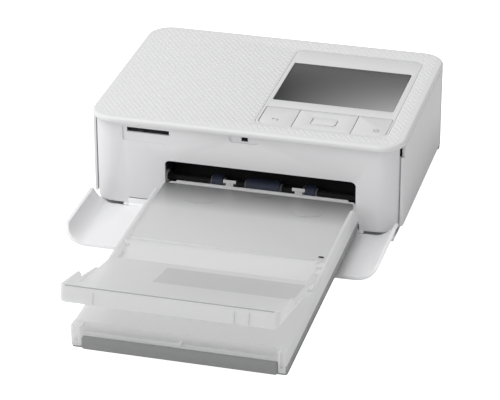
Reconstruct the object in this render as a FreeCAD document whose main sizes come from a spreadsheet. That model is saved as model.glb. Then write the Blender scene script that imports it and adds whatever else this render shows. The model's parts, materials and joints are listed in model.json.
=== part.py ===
import FreeCAD, Part
import math
import os
import re
import Sketcher

# Compact photo printer: housing, control panel, print engine, paper cassette and front door.
# Frame: origin on the table under the housing's centre, X to the right seen from the front,
# Y to the rear, Z up. All lengths are millimetres.

# Driving dimensions and the places worked out from them.
# Each row is a name, a value or a formula, and what it sizes.
HOUSING_SIZES = [
    ("body_width", 182.2, "housing, left to right"),
    ("body_depth", 134.4, "housing, front to rear"),
    ("body_top", 57.6, "table to top face"),
    ("shell_bottom", 4.3, "table to the side shells' lower edge"),
    ("corner_radius", 14.0, "housing corners in plan"),
    ("face_inset", 2.2, "front shell behind the closed door's outer face"),
    ("wall", 2.0, "moulded housing wall"),
    ("seam", 0.3, "gap between covers"),
    ("fit_gap", 0.05, "radial running clearance"),
    ("overrun", 1.0, "cuts run past the face"),
    ("wrap_length", 10.5, "door end walls reach back along the sides"),
    ("rear_shell_length", 15.2, "rear shell reaches forward along the sides"),
    ("rim_height", 3.1, "top cover's outer rim"),
    ("top_edge_round", 1.6, "rounded top edge"),
    ("half_width", "body_width / 2", ""),
    ("front_y", "-body_depth / 2", ""),
    ("rear_y", "body_depth / 2", ""),
    ("side_x", "half_width - face_inset", "front shell's outer side"),
    ("face_y", "front_y + face_inset", "front shell's face"),
    ("inner_x", "half_width - wall", "side panels' inner face"),
    ("shell_in_x", "side_x - wall", "front shell's inner side"),
    ("shell_in_y", "face_y + wall", "front shell's inner face"),
    ("rear_in_y", "rear_y - wall", "rear shell's inner face"),
    ("rim_z", "body_top - rim_height", "shells end under the rim"),
    ("lid_z", "body_top - wall", "underside of the top plate"),
    ("step_y", "front_y + wrap_length", "side panels start here"),
    ("split_y", "rear_y - rear_shell_length", "rear shell starts here"),
]

FRONT_SIZES = [
    ("slot_left_x", -45.8, "print opening, left side"),
    ("slot_right_x", 65.5, "print opening, right side"),
    ("slot_top_z", 33.0, "print opening, upper edge"),
    ("slot_round", 3.0, "print opening's corners"),
    ("notch_side", 23.3, "notch's end to the housing's side"),
    ("notch_top_z", 7.0, "upper edge of that notch"),
    ("front_edge_z", 3.4, "lower edge of the front shell"),
    ("card_side", 23.0, "card slot's left end to the housing's side"),
    ("card_width", 25.0, "card slot"),
    ("card_low_z", 48.4, "card slot, lower edge"),
    ("card_high_z", 51.3, "card slot, upper edge"),
    ("card_border", 2.4, "shallow field round the card slot"),
    ("card_drop", 5.4, "field below the card slot"),
    ("field_depth", 0.6, "depth of that field"),
    ("latch_x", 0.75, "latch recess, centre"),
    ("latch_z", 51.3, "latch recess, centre"),
    ("latch_length", 17.1, "latch recess"),
    ("latch_height", 4.4, "latch recess"),
    ("latch_depth", 1.0, "latch recess"),
    ("latch_end_share", 0.49, "rounding of the latch recess's ends, of its height"),
    ("latch_hole_x", 1.0, "latch hole, centre"),
    ("latch_hole_width", 3.8, "latch hole"),
    ("latch_hole_height", 2.6, "latch hole"),
    ("finger_low_z", 47.3, "finger gap at the side cover, lower end"),
    ("finger_depth", 2.8, "finger gap, front to rear"),
    ("knob_width", 2.8, "hinge knob beside the notch"),
    ("knob_eye_radius", 1.3, "eye round the door's hinge pin"),
    ("notch_half", "half_width - notch_side", "half width of the notch under the front shell"),
    ("card_left_x", "card_side - half_width", "card slot, left end"),
    ("card_right_x", "card_left_x + card_width", ""),
]

REAR_SIZES = [
    ("exit_low_z", 23.5, "rear paper slot, lower edge"),
    ("exit_high_z", 30.5, "rear paper slot, upper edge"),
    ("exit_round", 2.5, "rear paper slot's ends"),
    ("vent_count", 8.0, "vent slots in the rear shell"),
    ("vent_side", 13.1, "first vent slot's centre to the housing's side"),
    ("vent_step", 4.0, "vent slots, spacing"),
    ("vent_width", 1.8, "vent slot"),
    ("vent_low_z", 36.0, "vent slots, lower end"),
    ("vent_high_z", 48.0, "vent slots, upper end"),
    ("jack_side", 20.1, "power inlet's centre to the housing's side"),
    ("jack_z", 16.5, "power inlet, centre"),
    ("jack_body", 11.0, "power inlet's block"),
    ("jack_length", 13.0, "power inlet's block, front to rear"),
    ("jack_radius", 2.9, "power inlet's bore"),
    ("jack_bore_length", 9.0, "power inlet's bore"),
    ("jack_ring_radius", 3.6, "hole in the rear shell"),
    ("usb_back", 31.7, "data port's centre behind the front"),
    ("usb_width", 9.0, "data port"),
    ("usb_height", 3.2, "data port"),
    ("usb_length", 9.6, "data port's shell"),
    ("usb_wall", 0.5, "data port's shell"),
    ("terminal_side", 47.1, "battery terminal cover's left end to the housing's side"),
    ("terminal_width", 32.0, "battery terminal cover"),
    ("terminal_low_z", 35.0, "battery terminal cover"),
    ("terminal_height", 13.0, "battery terminal cover"),
    ("terminal_depth", 5.5, "battery terminal block"),
    ("terminal_count", 4.0, "battery contacts"),
    ("blade_width", 1.6, "battery contact"),
    ("blade_length", 1.2, "battery contact"),
    ("vent_first_x", "vent_side - half_width", ""),
    ("jack_x", "jack_side - half_width", ""),
    ("usb_y", "front_y + usb_back", ""),
    ("terminal_left_x", "half_width - terminal_side", ""),
]

BASE_SIZES = [
    ("pan_low_z", 3.2, "underside of the base pan"),
    ("pan_wall", 1.6, "base pan"),
    ("pan_rim_z", 10.4, "upper edge of the base pan's rim"),
    ("pan_front_back", 6.0, "base pan's front edge behind the face"),
    ("pan_tab_beside", 3.2, "front tabs beside the notch"),
    ("pan_tab_width", 4.2, "front tabs"),
    ("foot_radius", 6.0, "rubber foot"),
    ("foot_side", 17.1, "rubber feet from the housing's side"),
    ("foot_front_back", 19.2, "front feet behind the front"),
    ("foot_rear_back", 15.2, "rear feet before the rear"),
    ("post_radius", 3.2, "posts under the chassis"),
    ("screw_radius", 1.3, "housing screw"),
    ("screw_head_radius", 2.6, "housing screw's head"),
    ("screw_head_height", 1.2, "housing screw's head"),
    ("screw_end_z", 9.7, "housing screw's point"),
    ("board_post_radius", 2.5, "posts under the boards"),
    ("pan_top_z", "pan_low_z + pan_wall", ""),
    ("pan_front_y", "face_y + pan_front_back", ""),
    ("pan_tab_inner", "notch_half + pan_tab_beside", ""),
    ("pan_tab_outer", "pan_tab_inner + pan_tab_width", ""),
    ("foot_x", "half_width - foot_side", ""),
    ("foot_front_y", "front_y + foot_front_back", ""),
    ("foot_rear_y", "rear_y - foot_rear_back", ""),
]

DOOR_SIZES = [
    ("door_axis_behind", 1.8, "door hinge behind the outer face"),
    ("door_axis_z", 2.2, "door hinge above the table"),
    ("door_lift", 0.4, "open door above the table"),
    ("door_wall", 1.9, "door"),
    ("door_top_z", 53.9, "closed door's upper edge"),
    ("door_corner_cut", 9.6, "rounded corner of the end wall"),
    ("door_barrel_gap", 0.3, "barrel ends beside the notch"),
    ("door_pin_radius", 0.9, "door hinge pin"),
    ("door_tab_width", 2.8, "latch tab"),
    ("door_tab_height", 2.6, "latch tab"),
    ("door_tab_thickness", 1.4, "latch tab"),
    ("door_flap_height", 4.5, "flap that fills the notch"),
    ("door_flap_right_x", -47.2, "flap's inner end"),
    ("hinge_y", "front_y + door_axis_behind", "door hinge axis"),
    ("hinge_z", "door_axis_z", "door hinge axis"),
    ("door_reach", "door_top_z - hinge_z", "axis to the door's far edge"),
    ("door_edge_y", "hinge_y - door_reach", "open door's front edge"),
    ("door_in_z", "door_lift + door_wall", "open door's upper face"),
]

SIDE_SIZES = [
    ("side_pin_radius", 0.6, "side cover's hinge pins"),
    ("side_pin_length", 4.0, "side cover's hinge pins"),
    ("side_bottom_z", 4.6, "side cover's lower edge"),
    ("side_ear_low_z", 3.2, "ear under the side cover"),
    ("side_ear_length", 4.0, "ear under the side cover"),
    ("side_ear_width", 7.1, "ear under the side cover"),
    ("side_axis_x", "half_width - wall / 2", "side cover's hinge"),
    ("side_axis_y", "split_y - seam - wall / 2", "side cover's hinge"),
]

PANEL_SIZES = [
    ("panel_width", 76.5, "control panel"),
    ("panel_side", 11.1, "control panel to the housing's right side"),
    ("panel_front_back", 12.6, "control panel behind the front"),
    ("panel_rear_back", 14.8, "control panel before the rear"),
    ("panel_round", 6.0, "control panel's corners"),
    ("panel_drop", 0.2, "control panel below the top face"),
    ("panel_thickness", 1.2, "control panel"),
    ("panel_ledge", 1.2, "ledge under the panel's edge"),
    ("panel_gap", 0.15, "gap round the control panel"),
    ("window_left_in", 2.5, "display window inside the panel's left edge"),
    ("window_right_in", 3.4, "display window inside the panel's right edge"),
    ("window_key_space", 9.8, "display window behind the keys"),
    ("window_rear_in", 19.2, "display window inside the panel's rear edge"),
    ("window_round", 1.0, "display window's corners"),
    ("window_gap", 0.1, "gap round the display window"),
    ("window_drop", 0.3, "display window below the top face"),
    ("display_border", 1.0, "display module round the window"),
    ("display_height", 3.6, "display module"),
    ("carrier_thickness", 1.7, "carrier under the panel"),
    ("carrier_margin", 6.0, "carrier beside the panel"),
    ("carrier_post_radius", 1.8, "carrier's posts"),
    ("carrier_front_out", 2.0, "carrier past the panel's front edge"),
    ("carrier_rear_out", 4.2, "carrier past the panel's rear edge"),
    ("key_left_in", 1.9, "keys inside the panel's left edge"),
    ("menu_key_width", 21.5, "panel's left edge to the gap beside the menu key"),
    ("power_key_width", 21.0, "gap beside the power key to the panel's right edge"),
    ("key_right_in", 1.4, "keys inside the panel's right edge"),
    ("key_front_in", 1.6, "keys inside the panel's front edge"),
    ("key_depth", 23.0, "keys, front to rear"),
    ("key_gap", 0.4, "gap beside a key"),
    ("key_round", 1.0, "key corners"),
    ("key_corner", 5.0, "outer keys' front corners"),
    ("key_drop", 0.35, "keys below the top face"),
    ("key_height", 2.4, "key"),
    ("confirm_in", 9.6, "confirm button beside the pad's left gap"),
    ("confirm_width", 14.1, "confirm button"),
    ("confirm_back", 6.5, "confirm button behind the keys' front edge"),
    ("confirm_depth", 9.0, "confirm button"),
    ("confirm_round", 1.6, "confirm button's corners"),
    ("confirm_gap", 0.3, "gap round the confirm button"),
    ("confirm_rise", 0.25, "confirm button above the pad"),
    ("key_board_thickness", 1.2, "key board"),
    ("dome_radius", 1.8, "switch dome"),
    ("dome_height", 0.5, "switch dome"),
    ("panel_right_x", "half_width - panel_side", ""),
    ("panel_left_x", "panel_right_x - panel_width", ""),
    ("panel_front_y", "front_y + panel_front_back", ""),
    ("panel_rear_y", "rear_y - panel_rear_back", ""),
    ("key_left_x", "panel_left_x + key_left_in", ""),
    ("key_right_x", "panel_right_x - key_right_in", ""),
    ("key_gap_one_x", "panel_left_x + menu_key_width", ""),
    ("key_gap_two_x", "panel_right_x - power_key_width", ""),
    ("key_front_y", "panel_front_y + key_front_in", ""),
    ("key_rear_y", "key_front_y + key_depth", ""),
    ("window_left_x", "panel_left_x + window_left_in", ""),
    ("window_right_x", "panel_right_x - window_right_in", ""),
    ("window_front_y", "key_rear_y + window_key_space", ""),
    ("window_rear_y", "panel_rear_y - window_rear_in", ""),
    ("carrier_front_y", "panel_front_y - carrier_front_out", ""),
    ("carrier_rear_y", "panel_rear_y + carrier_rear_out", ""),
    ("confirm_left_x", "key_gap_one_x + confirm_in", ""),
    ("confirm_right_x", "confirm_left_x + confirm_width", ""),
    ("confirm_front_y", "key_front_y + confirm_back", ""),
    ("confirm_rear_y", "confirm_front_y + confirm_depth", ""),
    ("panel_top_z", "body_top - panel_drop", ""),
    ("panel_low_z", "panel_top_z - panel_thickness", ""),
    ("display_low_z", "panel_low_z - display_height", ""),
    ("key_top_z", "body_top - key_drop", ""),
    ("key_low_z", "key_top_z - key_height", ""),
]

CHASSIS_SIZES = [
    ("sheet", 1.2, "sheet steel"),
    ("chassis_low_z", 8.8, "underside of the chassis floor"),
    ("chassis_left_x", -49.2, "left side plate's outer face"),
    ("chassis_right_x", 72.2, "right side plate's outer face"),
    ("chassis_front_back", 23.2, "chassis floor's front edge behind the front"),
    ("chassis_rear_back", 9.2, "chassis before the rear"),
    ("cheek_front_back", 7.7, "side plates' front edge behind the front"),
    ("post_left_in", 9.2, "left chassis posts inside the side plate"),
    ("post_right_in", 10.2, "right chassis posts inside the side plate"),
    ("post_front_in", 14.0, "front chassis posts behind the floor's edge"),
    ("post_rear_in", 6.0, "rear chassis posts before the rear edge"),
    ("cheek_top_z", 43.4, "side plates' upper edge"),
    ("cheek_low_z", 12.0, "side plates' front arms, lower edge"),
    ("bush_wall", 1.5, "bearing bush"),
    ("bush_flange", 0.9, "bearing bush's flange"),
    ("bush_seat_gap", 0.02, "bush in its plate"),
    ("door_way_front_y", -42.0, "ribbon opening in the right side plate"),
    ("door_way_rear_y", 32.0, "ribbon opening in the right side plate"),
    ("door_way_low_z", 25.0, "ribbon opening in the right side plate"),
    ("chassis_top_z", "chassis_low_z + sheet", "upper face of the chassis floor"),
    ("cheek_left_in_x", "chassis_left_x + sheet", ""),
    ("cheek_right_in_x", "chassis_right_x - sheet", ""),
    ("chassis_front_y", "front_y + chassis_front_back", ""),
    ("chassis_rear_y", "rear_y - chassis_rear_back", ""),
    ("cheek_front_y", "front_y + cheek_front_back", ""),
    ("post_left_x", "chassis_left_x + post_left_in", ""),
    ("post_right_x", "chassis_right_x - post_right_in", ""),
    ("post_front_y", "chassis_front_y + post_front_in", ""),
    ("post_rear_y", "chassis_rear_y - post_rear_in", ""),
]

ROLLER_SIZES = [
    ("pick_y", -54.0, "pick-up roller axis"),
    ("pick_z", 18.0, "pick-up roller axis"),
    ("pick_shaft_radius", 2.0, "pick-up roller shaft"),
    ("pick_radius", 4.5, "pick-up tyre"),
    ("pick_left_x", -20.0, "left tyre"),
    ("pick_side_width", 6.0, "left and right tyres"),
    ("pick_mid_x", 0.0, "middle tyre"),
    ("pick_mid_width", 19.3, "middle tyre"),
    ("pick_right_x", 34.0, "right tyre"),
    ("collar_radius", 2.8, "collar beside a tyre"),
    ("collar_width", 1.2, "collar beside a tyre"),
    ("platen_y", -6.0, "platen roller axis"),
    ("platen_z", 19.0, "platen roller axis"),
    ("platen_radius", 7.0, "platen roller"),
    ("platen_shaft_radius", 3.0, "platen shaft"),
    ("grip_y", 40.0, "grip roller axis"),
    ("grip_z", 21.0, "grip roller axis"),
    ("grip_radius", 5.0, "grip roller"),
    ("grip_shaft_radius", 2.5, "grip shaft"),
    ("pinch_radius", 3.2, "pinch roller"),
    ("pinch_shaft_radius", 1.5, "pinch shaft"),
    ("nip_gap", 0.6, "paper gap between the rollers"),
    ("roller_left_x", -44.0, "rubber rollers, left end"),
    ("roller_right_x", 64.0, "rubber rollers, right end"),
    ("shaft_past", 1.6, "shafts stand out of the right plate"),
    ("tyre_fit", 0.02, "tyre on its shaft"),
    ("pinch_z", "grip_z + grip_radius + nip_gap + pinch_radius", "pinch roller axis"),
]

GEAR_SIZES = [
    ("gear_module", 0.8, "pitch diameter for each tooth"),
    ("gear_width", 4.8, "gears"),
    ("gear_plate_gap", 2.4, "gears beside the left plate"),
    ("gear_shaft_past", 0.8, "shafts past the gears"),
    ("idler_pin_radius", 1.5, "idler pins"),
    ("motor_radius", 10.0, "feed motor"),
    ("motor_length", 22.0, "feed motor"),
    ("motor_shaft_radius", 1.0, "feed motor's shaft"),
    ("motor_angle", 60.0, "motor above the platen gear, degrees"),
    ("bracket_gap", 3.0, "motor bracket beside the gears"),
    ("bracket_front_y", -19.0, "motor bracket"),
    ("bracket_rear_y", 13.5, "motor bracket"),
    ("bracket_top_z", 45.4, "motor bracket"),
    ("bracket_foot", 1.9, "motor bracket's foot"),
    ("gear_right_x", "chassis_left_x - gear_plate_gap", ""),
    ("gear_left_x", "gear_right_x - gear_width", ""),
    ("bracket_x", "gear_left_x - bracket_gap", "motor bracket's right face"),
]

ENGINE_SIZES = [
    ("spool_z", 36.0, "ribbon spool axes"),
    ("takeup_y", -30.0, "take-up spool axis"),
    ("supply_y", 20.0, "supply spool axis"),
    ("takeup_radius", 5.5, "take-up roll"),
    ("supply_radius", 8.0, "supply roll"),
    ("spool_core_radius", 4.0, "spool core"),
    ("spool_journal_radius", 2.0, "spool journal"),
    ("tub_radius", 10.0, "ribbon cassette's tubes"),
    ("tub_wall", 1.2, "ribbon cassette"),
    ("tub_cut_z", 32.0, "tubes are open below this"),
    ("tub_left_x", -46.5, "ribbon cassette"),
    ("tub_right_x", 69.5, "ribbon cassette"),
    ("tub_link_high_z", 41.0, "ribbon cassette's end plates"),
    ("tub_front_high_z", 42.5, "ribbon cassette's pull plate"),
    ("tub_handle_depth", 6.0, "pull bar"),
    ("tub_handle_length", 44.0, "pull bar"),
    ("film_left_x", -42.0, "ribbon film"),
    ("film_right_x", 62.0, "ribbon film"),
    ("film_thickness", 0.2, "ribbon film"),
    ("film_gap", 0.25, "ribbon film above the platen"),
    ("film_half", 9.0, "flat run of the film under the head"),
    ("head_depth", 14.0, "thermal head, front to rear"),
    ("head_height", 1.6, "thermal head"),
    ("head_gap", 0.35, "thermal head above the film"),
    ("sink_top_z", 46.3, "heat sink's upper face"),
    ("sink_floor", 4.0, "heat sink under its fins"),
    ("sink_fin_gap", 2.0, "gap between fins"),
    ("sink_fin_step", 4.0, "fin spacing"),
    ("arm_rear_y", 46.5, "head bracket, rear edge"),
    ("arm_front_y", -14.0, "head bracket, front edge"),
    ("arm_low_z", 34.4, "head bracket's ears, lower edge"),
    ("arm_axis_y", 42.0, "head pivot"),
    ("arm_axis_z", 38.5, "head pivot"),
    ("arm_pin_radius", 2.0, "head pivot shaft"),
    ("guide_wall", 1.5, "paper guides"),
    ("guide_foot_out", 3.0, "feed guide's lower edge before the chassis"),
    ("guide_bend_back", 11.0, "feed guide's bend behind its lower edge"),
    ("guide_top_z", 24.5, "feed guide's upper face"),
    ("guide_end_y", -14.5, "feed guide's rear edge"),
    ("guide_left_x", -46.5, "paper guides"),
    ("guide_right_x", 69.5, "paper guides"),
    ("rear_guide_y", 47.0, "rear guide's front edge"),
    ("rear_guide_z", 22.8, "rear guide's upper face"),
    ("guide_foot_y", "chassis_front_y - guide_foot_out", ""),
    ("guide_bend_y", "guide_foot_y + guide_bend_back", ""),
    ("film_z", "platen_z + platen_radius + film_gap", "film's lower face"),
    ("head_z", "film_z + film_thickness + head_gap", "thermal head's lower face"),
]

BOARD_SIZES = [
    ("board_thickness", 1.6, "circuit board"),
    ("main_side", 6.1, "main board's left edge to the housing's side"),
    ("main_right_x", -62.2, "main board"),
    ("main_front_back", 25.2, "main board's front edge behind the front"),
    ("main_rear_back", 5.2, "main board before the rear"),
    ("main_z", 9.4, "main board's underside"),
    ("main_post_side", 3.8, "posts inside the main board's right edge"),
    ("main_post_in", 18.0, "posts inside the main board's ends"),
    ("card_board_z", 44.6, "card board's underside"),
    ("card_board_left_out", 14.9, "card board past the card slot, left"),
    ("card_board_right_out", 1.1, "card board past the card slot, right"),
    ("card_board_back", 7.2, "card board behind the front"),
    ("card_board_depth", 13.5, "card board"),
    ("card_post_left_in", 3.0, "left post inside the card board's edge"),
    ("card_post_right_in", 20.0, "right post inside the card board's edge"),
    ("card_post_back", 8.0, "posts behind the card board's front edge"),
    ("reader_side", 1.5, "card reader beside its slot"),
    ("reader_top_z", 52.6, "card reader's upper face"),
    ("reader_depth", 24.0, "card slot, front to rear"),
    ("chip_size", 9.0, "main chip"),
    ("chip_height", 1.4, "main chip"),
    ("main_left_x", "main_side - half_width", ""),
    ("main_front_y", "front_y + main_front_back", ""),
    ("main_rear_y", "rear_y - main_rear_back", ""),
    ("main_post_x", "main_right_x - main_post_side", ""),
    ("main_post_front_y", "main_front_y + main_post_in", ""),
    ("main_post_rear_y", "main_rear_y - main_post_in", ""),
    ("card_board_left_x", "card_left_x - card_board_left_out", ""),
    ("card_board_right_x", "card_right_x + card_board_right_out", ""),
    ("card_board_front_y", "front_y + card_board_back", ""),
    ("card_board_rear_y", "card_board_front_y + card_board_depth", ""),
    ("card_post_left_x", "card_board_left_x + card_post_left_in", ""),
    ("card_post_right_x", "card_board_right_x - card_post_right_in", ""),
    ("card_post_y", "card_board_front_y + card_post_back", ""),
]

CASSETTE_SIZES = [
    ("tray_left_x", -46.5, "cassette, left side"),
    ("tray_right_x", 68.0, "cassette, right side"),
    ("tray_front_y", -232.5, "cassette, front"),
    ("tray_neck_y", -69.0, "cassette narrows here"),
    ("tray_rear_y", -48.0, "cassette, rear"),
    ("tray_low_z", 5.5, "cassette's underside"),
    ("tray_floor", 1.6, "cassette base"),
    ("tray_wall", 1.6, "cassette case"),
    ("neck_left_x", -44.0, "inserted end, left side"),
    ("neck_right_x", 65.0, "inserted end, right side"),
    ("neck_top_z", 12.3, "inserted end's side walls"),
    ("tail_top_z", 10.3, "inserted end's rear wall"),
    ("rim_top_z", 24.0, "cassette's high side walls"),
    ("rim_rear_y", -82.0, "high side walls, rear"),
    ("side_rear_z", 14.0, "side walls' rear end"),
    ("rim_front_y", -168.0, "high side walls, front"),
    ("rim_ramp", 4.5, "side walls drop forward of the hinge"),
    ("deck_top_z", 17.6, "front deck"),
    ("deck_wall", 1.6, "decks"),
    ("shelf_top_z", 22.0, "middle deck and inner cover"),
    ("shelf_front_y", -166.0, "middle deck's front edge"),
    ("shelf_rear_y", -140.0, "middle deck's rear edge"),
    ("groove_rear_y", -223.6, "groove behind the front bar"),
    ("groove_z", 11.8, "groove's floor"),
    ("front_lip_z", 13.0, "thin wall behind the front bar"),
    ("bar_top_z", 12.4, "grey front bar"),
    ("bar_left_x", -40.5, "grey front bar"),
    ("bar_right_x", 63.0, "grey front bar"),
    ("bar_depth", 2.0, "grey front bar"),
    ("corner_top_z", 18.4, "front corner blocks"),
    ("corner_depth", 6.5, "front corner blocks"),
    ("corner_slot", 2.2, "slot in a front corner block"),
    ("rib_x", 10.9, "rib across the groove"),
    ("rib_width", 1.6, "rib across the groove"),
    ("rib_top_z", 14.2, "rib across the groove"),
    ("bridge_front_y", -69.5, "bridge over the rear end"),
    ("bridge_rear_y", -67.0, "bridge over the rear end"),
    ("bridge_height", 2.4, "bridge over the rear end"),
    ("bridge_left_x", -38.1, "raised part of the bridge, left end"),
    ("bridge_right_x", 61.6, "raised part of the bridge, right end"),
    ("bridge_rise", 0.5, "bridge's raised part above the middle deck"),
    ("bridge_shoulder", 3.3, "low steps beside the bridge's raised part"),
    ("bridge_corner", 2.6, "bridge's outer ends drop"),
    ("hook_left_x", -6.9, "left hook, centre"),
    ("hook_right_x", 33.2, "right hook, centre"),
    ("hook_stem", 4.0, "hook's stem"),
    ("hook_bar", 7.2, "hook's bar"),
    ("hook_top_z", 26.3, "hooks' upper edge"),
    ("hook_bar_height", 1.4, "hook's bar"),
    ("hook_thickness", 1.4, "hook"),
    ("paper_left_x", -39.0, "paper stack"),
    ("paper_width", 100.0, "paper"),
    ("paper_length", 148.0, "paper"),
    ("paper_gap", 1.5, "paper in front of the rear wall"),
    ("paper_height", 2.8, "paper stack"),
    ("plate_gap", 0.5, "inner cover beside the walls"),
    ("plate_wall", 1.5, "inner cover"),
    ("plate_pin_radius", 1.1, "inner cover's hinge"),
    ("plate_round", 2.0, "inner cover's corners"),
    ("plate_axis_y", -138.3, "inner cover's hinge"),
    ("clip_x", 62.0, "clip on the middle deck"),
    ("clip_size", 2.4, "clip on the middle deck"),
    ("clip_height", 1.0, "clip on the middle deck"),
    ("tray_floor_z", "tray_low_z + tray_floor", ""),
    ("tray_in_left_x", "tray_left_x + tray_wall", ""),
    ("tray_in_right_x", "tray_right_x - tray_wall", ""),
    ("plate_axis_z", "shelf_top_z - plate_wall / 2", "inner cover's hinge"),
]

LID_SIZES = [
    ("lid_axis_y", -158.5, "outer cover's hinge"),
    ("lid_axis_z", 21.6, "outer cover's hinge"),
    ("lid_axis_up", 2.0, "cover plate above the hinge"),
    ("lid_tilt", 12.0, "open cover's slope, degrees"),
    ("lid_length", 91.5, "hinge to lip"),
    ("lid_wall", 1.5, "outer cover"),
    ("lid_lip", 9.0, "lip"),
    ("lid_corner", 3.0, "outer cover's rounded corners"),
    ("lid_ear_drop", 1.3, "ears' upper edge falls towards the hinge"),
    ("lid_ear_round", 2.5, "ears' cut corner"),
    ("lid_return", 31.5, "full height side walls"),
    ("lid_side", 3.4, "low side walls"),
    ("lid_side_start", 33.0, "side walls start"),
    ("lid_plate_start", 12.0, "cover plate starts"),
    ("lid_arm_width", 3.0, "hinge arms"),
    ("lid_arm_radius", 2.6, "hinge arms' ends"),
    ("lid_pin_radius", 1.3, "hinge pins"),
    ("lid_gap", 0.4, "hinge arms beside the walls"),
]

GROUPS = (
    HOUSING_SIZES, FRONT_SIZES, REAR_SIZES, BASE_SIZES, DOOR_SIZES, SIDE_SIZES, PANEL_SIZES,
    CHASSIS_SIZES, ROLLER_SIZES, GEAR_SIZES, ENGINE_SIZES, BOARD_SIZES, CASSETTE_SIZES, LID_SIZES,
)

# Teeth of each gear.
PLATEN_TEETH = 32
PINION_TEETH = 12
END_TEETH = 20
REAR_IDLER_TEETH = 32
FRONT_IDLER_TEETH = 35

# Tooth form: shares of the module for heights, and of half a pitch for widths.
TOOTH_TIP_SHARE = 0.8
TOOTH_ROOT_SHARE = 1.15
TOOTH_TIP_WIDTH_SHARE = 0.4
TOOTH_PITCH_WIDTH_SHARE = 0.8
TOOTH_ROOT_WIDTH_SHARE = 1.2

doc = FreeCAD.newDocument("photo_printer")
sheet = doc.addObject("Spreadsheet::Sheet", "Sizes")
ALIASES = set()
NODES = []


def fill_sheet():
    """Writes every size and formula into the sheet, one row each."""
    row = 0
    for group in GROUPS:
        for alias, content, note in group:
            row += 1
            sheet.set(f"A{row}", note)
            sheet.set(f"B{row}", f"={content}" if isinstance(content, str) else str(content))
            sheet.setAlias(f"B{row}", alias)
            ALIASES.add(alias)
    doc.recompute()


def cells(expression):
    """The expression with each size's name pointing at its cell."""
    return re.sub(r"[A-Za-z_]\w*", lambda word: f"Sizes.{word[0]}" if word[0] in ALIASES else word[0],
                  expression)


def value(expression):
    """What an expression of size names comes to."""
    result = sheet.evalExpression(cells(expression))
    return float(getattr(result, "Value", result))


def bind(item, prop, expression):
    item.setExpression(prop, cells(expression))


def sub(name):
    """A name that no other object has."""
    number = 1
    while doc.getObject(f"{name}_{number}"):
        number += 1
    return f"{name}_{number}"


def block(name, x, y, z):
    """A box between two named places along each axis."""
    item = doc.addObject("Part::Box", sub(name))
    for prop, axis, (low, high) in (("Length", "x", x), ("Width", "y", y), ("Height", "z", z)):
        bind(item, prop, f"({high}) - ({low})")
        bind(item, f"Placement.Base.{axis}", low)
    return item


TURNS = {
    "x": FreeCAD.Rotation(FreeCAD.Vector(0, 1, 0), 90),
    "y": FreeCAD.Rotation(FreeCAD.Vector(1, 0, 0), -90),
    "z": FreeCAD.Rotation(),
}


def rod(name, axis, first, second, span, radius):
    """A cylinder along an axis, centred at the other two coordinates in X, Y, Z order."""
    item = doc.addObject("Part::Cylinder", sub(name))
    item.Placement = FreeCAD.Placement(FreeCAD.Vector(), TURNS[axis])
    low, high = span
    others = [letter for letter in "xyz" if letter != axis]
    bind(item, "Radius", radius)
    bind(item, "Height", f"({high}) - ({low})")
    bind(item, f"Placement.Base.{axis}", low)
    bind(item, f"Placement.Base.{others[0]}", first)
    bind(item, f"Placement.Base.{others[1]}", second)
    return item


def join(name, *items):
    item = doc.addObject("Part::MultiFuse", sub(name))
    item.Shapes = list(items)
    return item


def cut(name, base, *tools):
    item = doc.addObject("Part::Cut", sub(name))
    item.Base = base
    item.Tool = tools[0] if len(tools) == 1 else join(f"{name}_voids", *tools)
    return item


def common(name, base, tool):
    item = doc.addObject("Part::Common", sub(name))
    item.Base = base
    item.Tool = tool
    return item


def group(name, *items):
    """Separate solids under one name."""
    item = doc.addObject("Part::Compound", sub(name))
    item.Links = list(items)
    return item


def node(label, item):
    """Names a finished sub-part, which becomes one file."""
    item.Label = label
    NODES.append(item)
    return item


PLANE_AXES = {"XY": "z", "XZ": "y", "YZ": "x"}


def new_sketch(name, plane, low, high):
    """A body with an empty sketch, at the end of the span that its pad starts from."""
    body = doc.addObject("PartDesign::Body", sub(name))
    sketch = body.newObject("Sketcher::SketchObject", f"{body.Name}_sketch")
    role = f"{plane}_Plane"
    origin_plane = [part for part in body.Origin.OriginFeatures if part.Role == role][0]
    sketch.AttachmentSupport = [(origin_plane, "")]
    sketch.MapMode = "FlatFace"
    start = f"-({high})" if plane == "XZ" else low
    bind(sketch, "AttachmentOffset.Base.z", start)
    return body, sketch


def finish_pad(body, sketch, low, high):
    pad = body.newObject("PartDesign::Pad", f"{body.Name}_pad")
    pad.Profile = sketch
    bind(pad, "Length", f"({high}) - ({low})")
    return body


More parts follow.
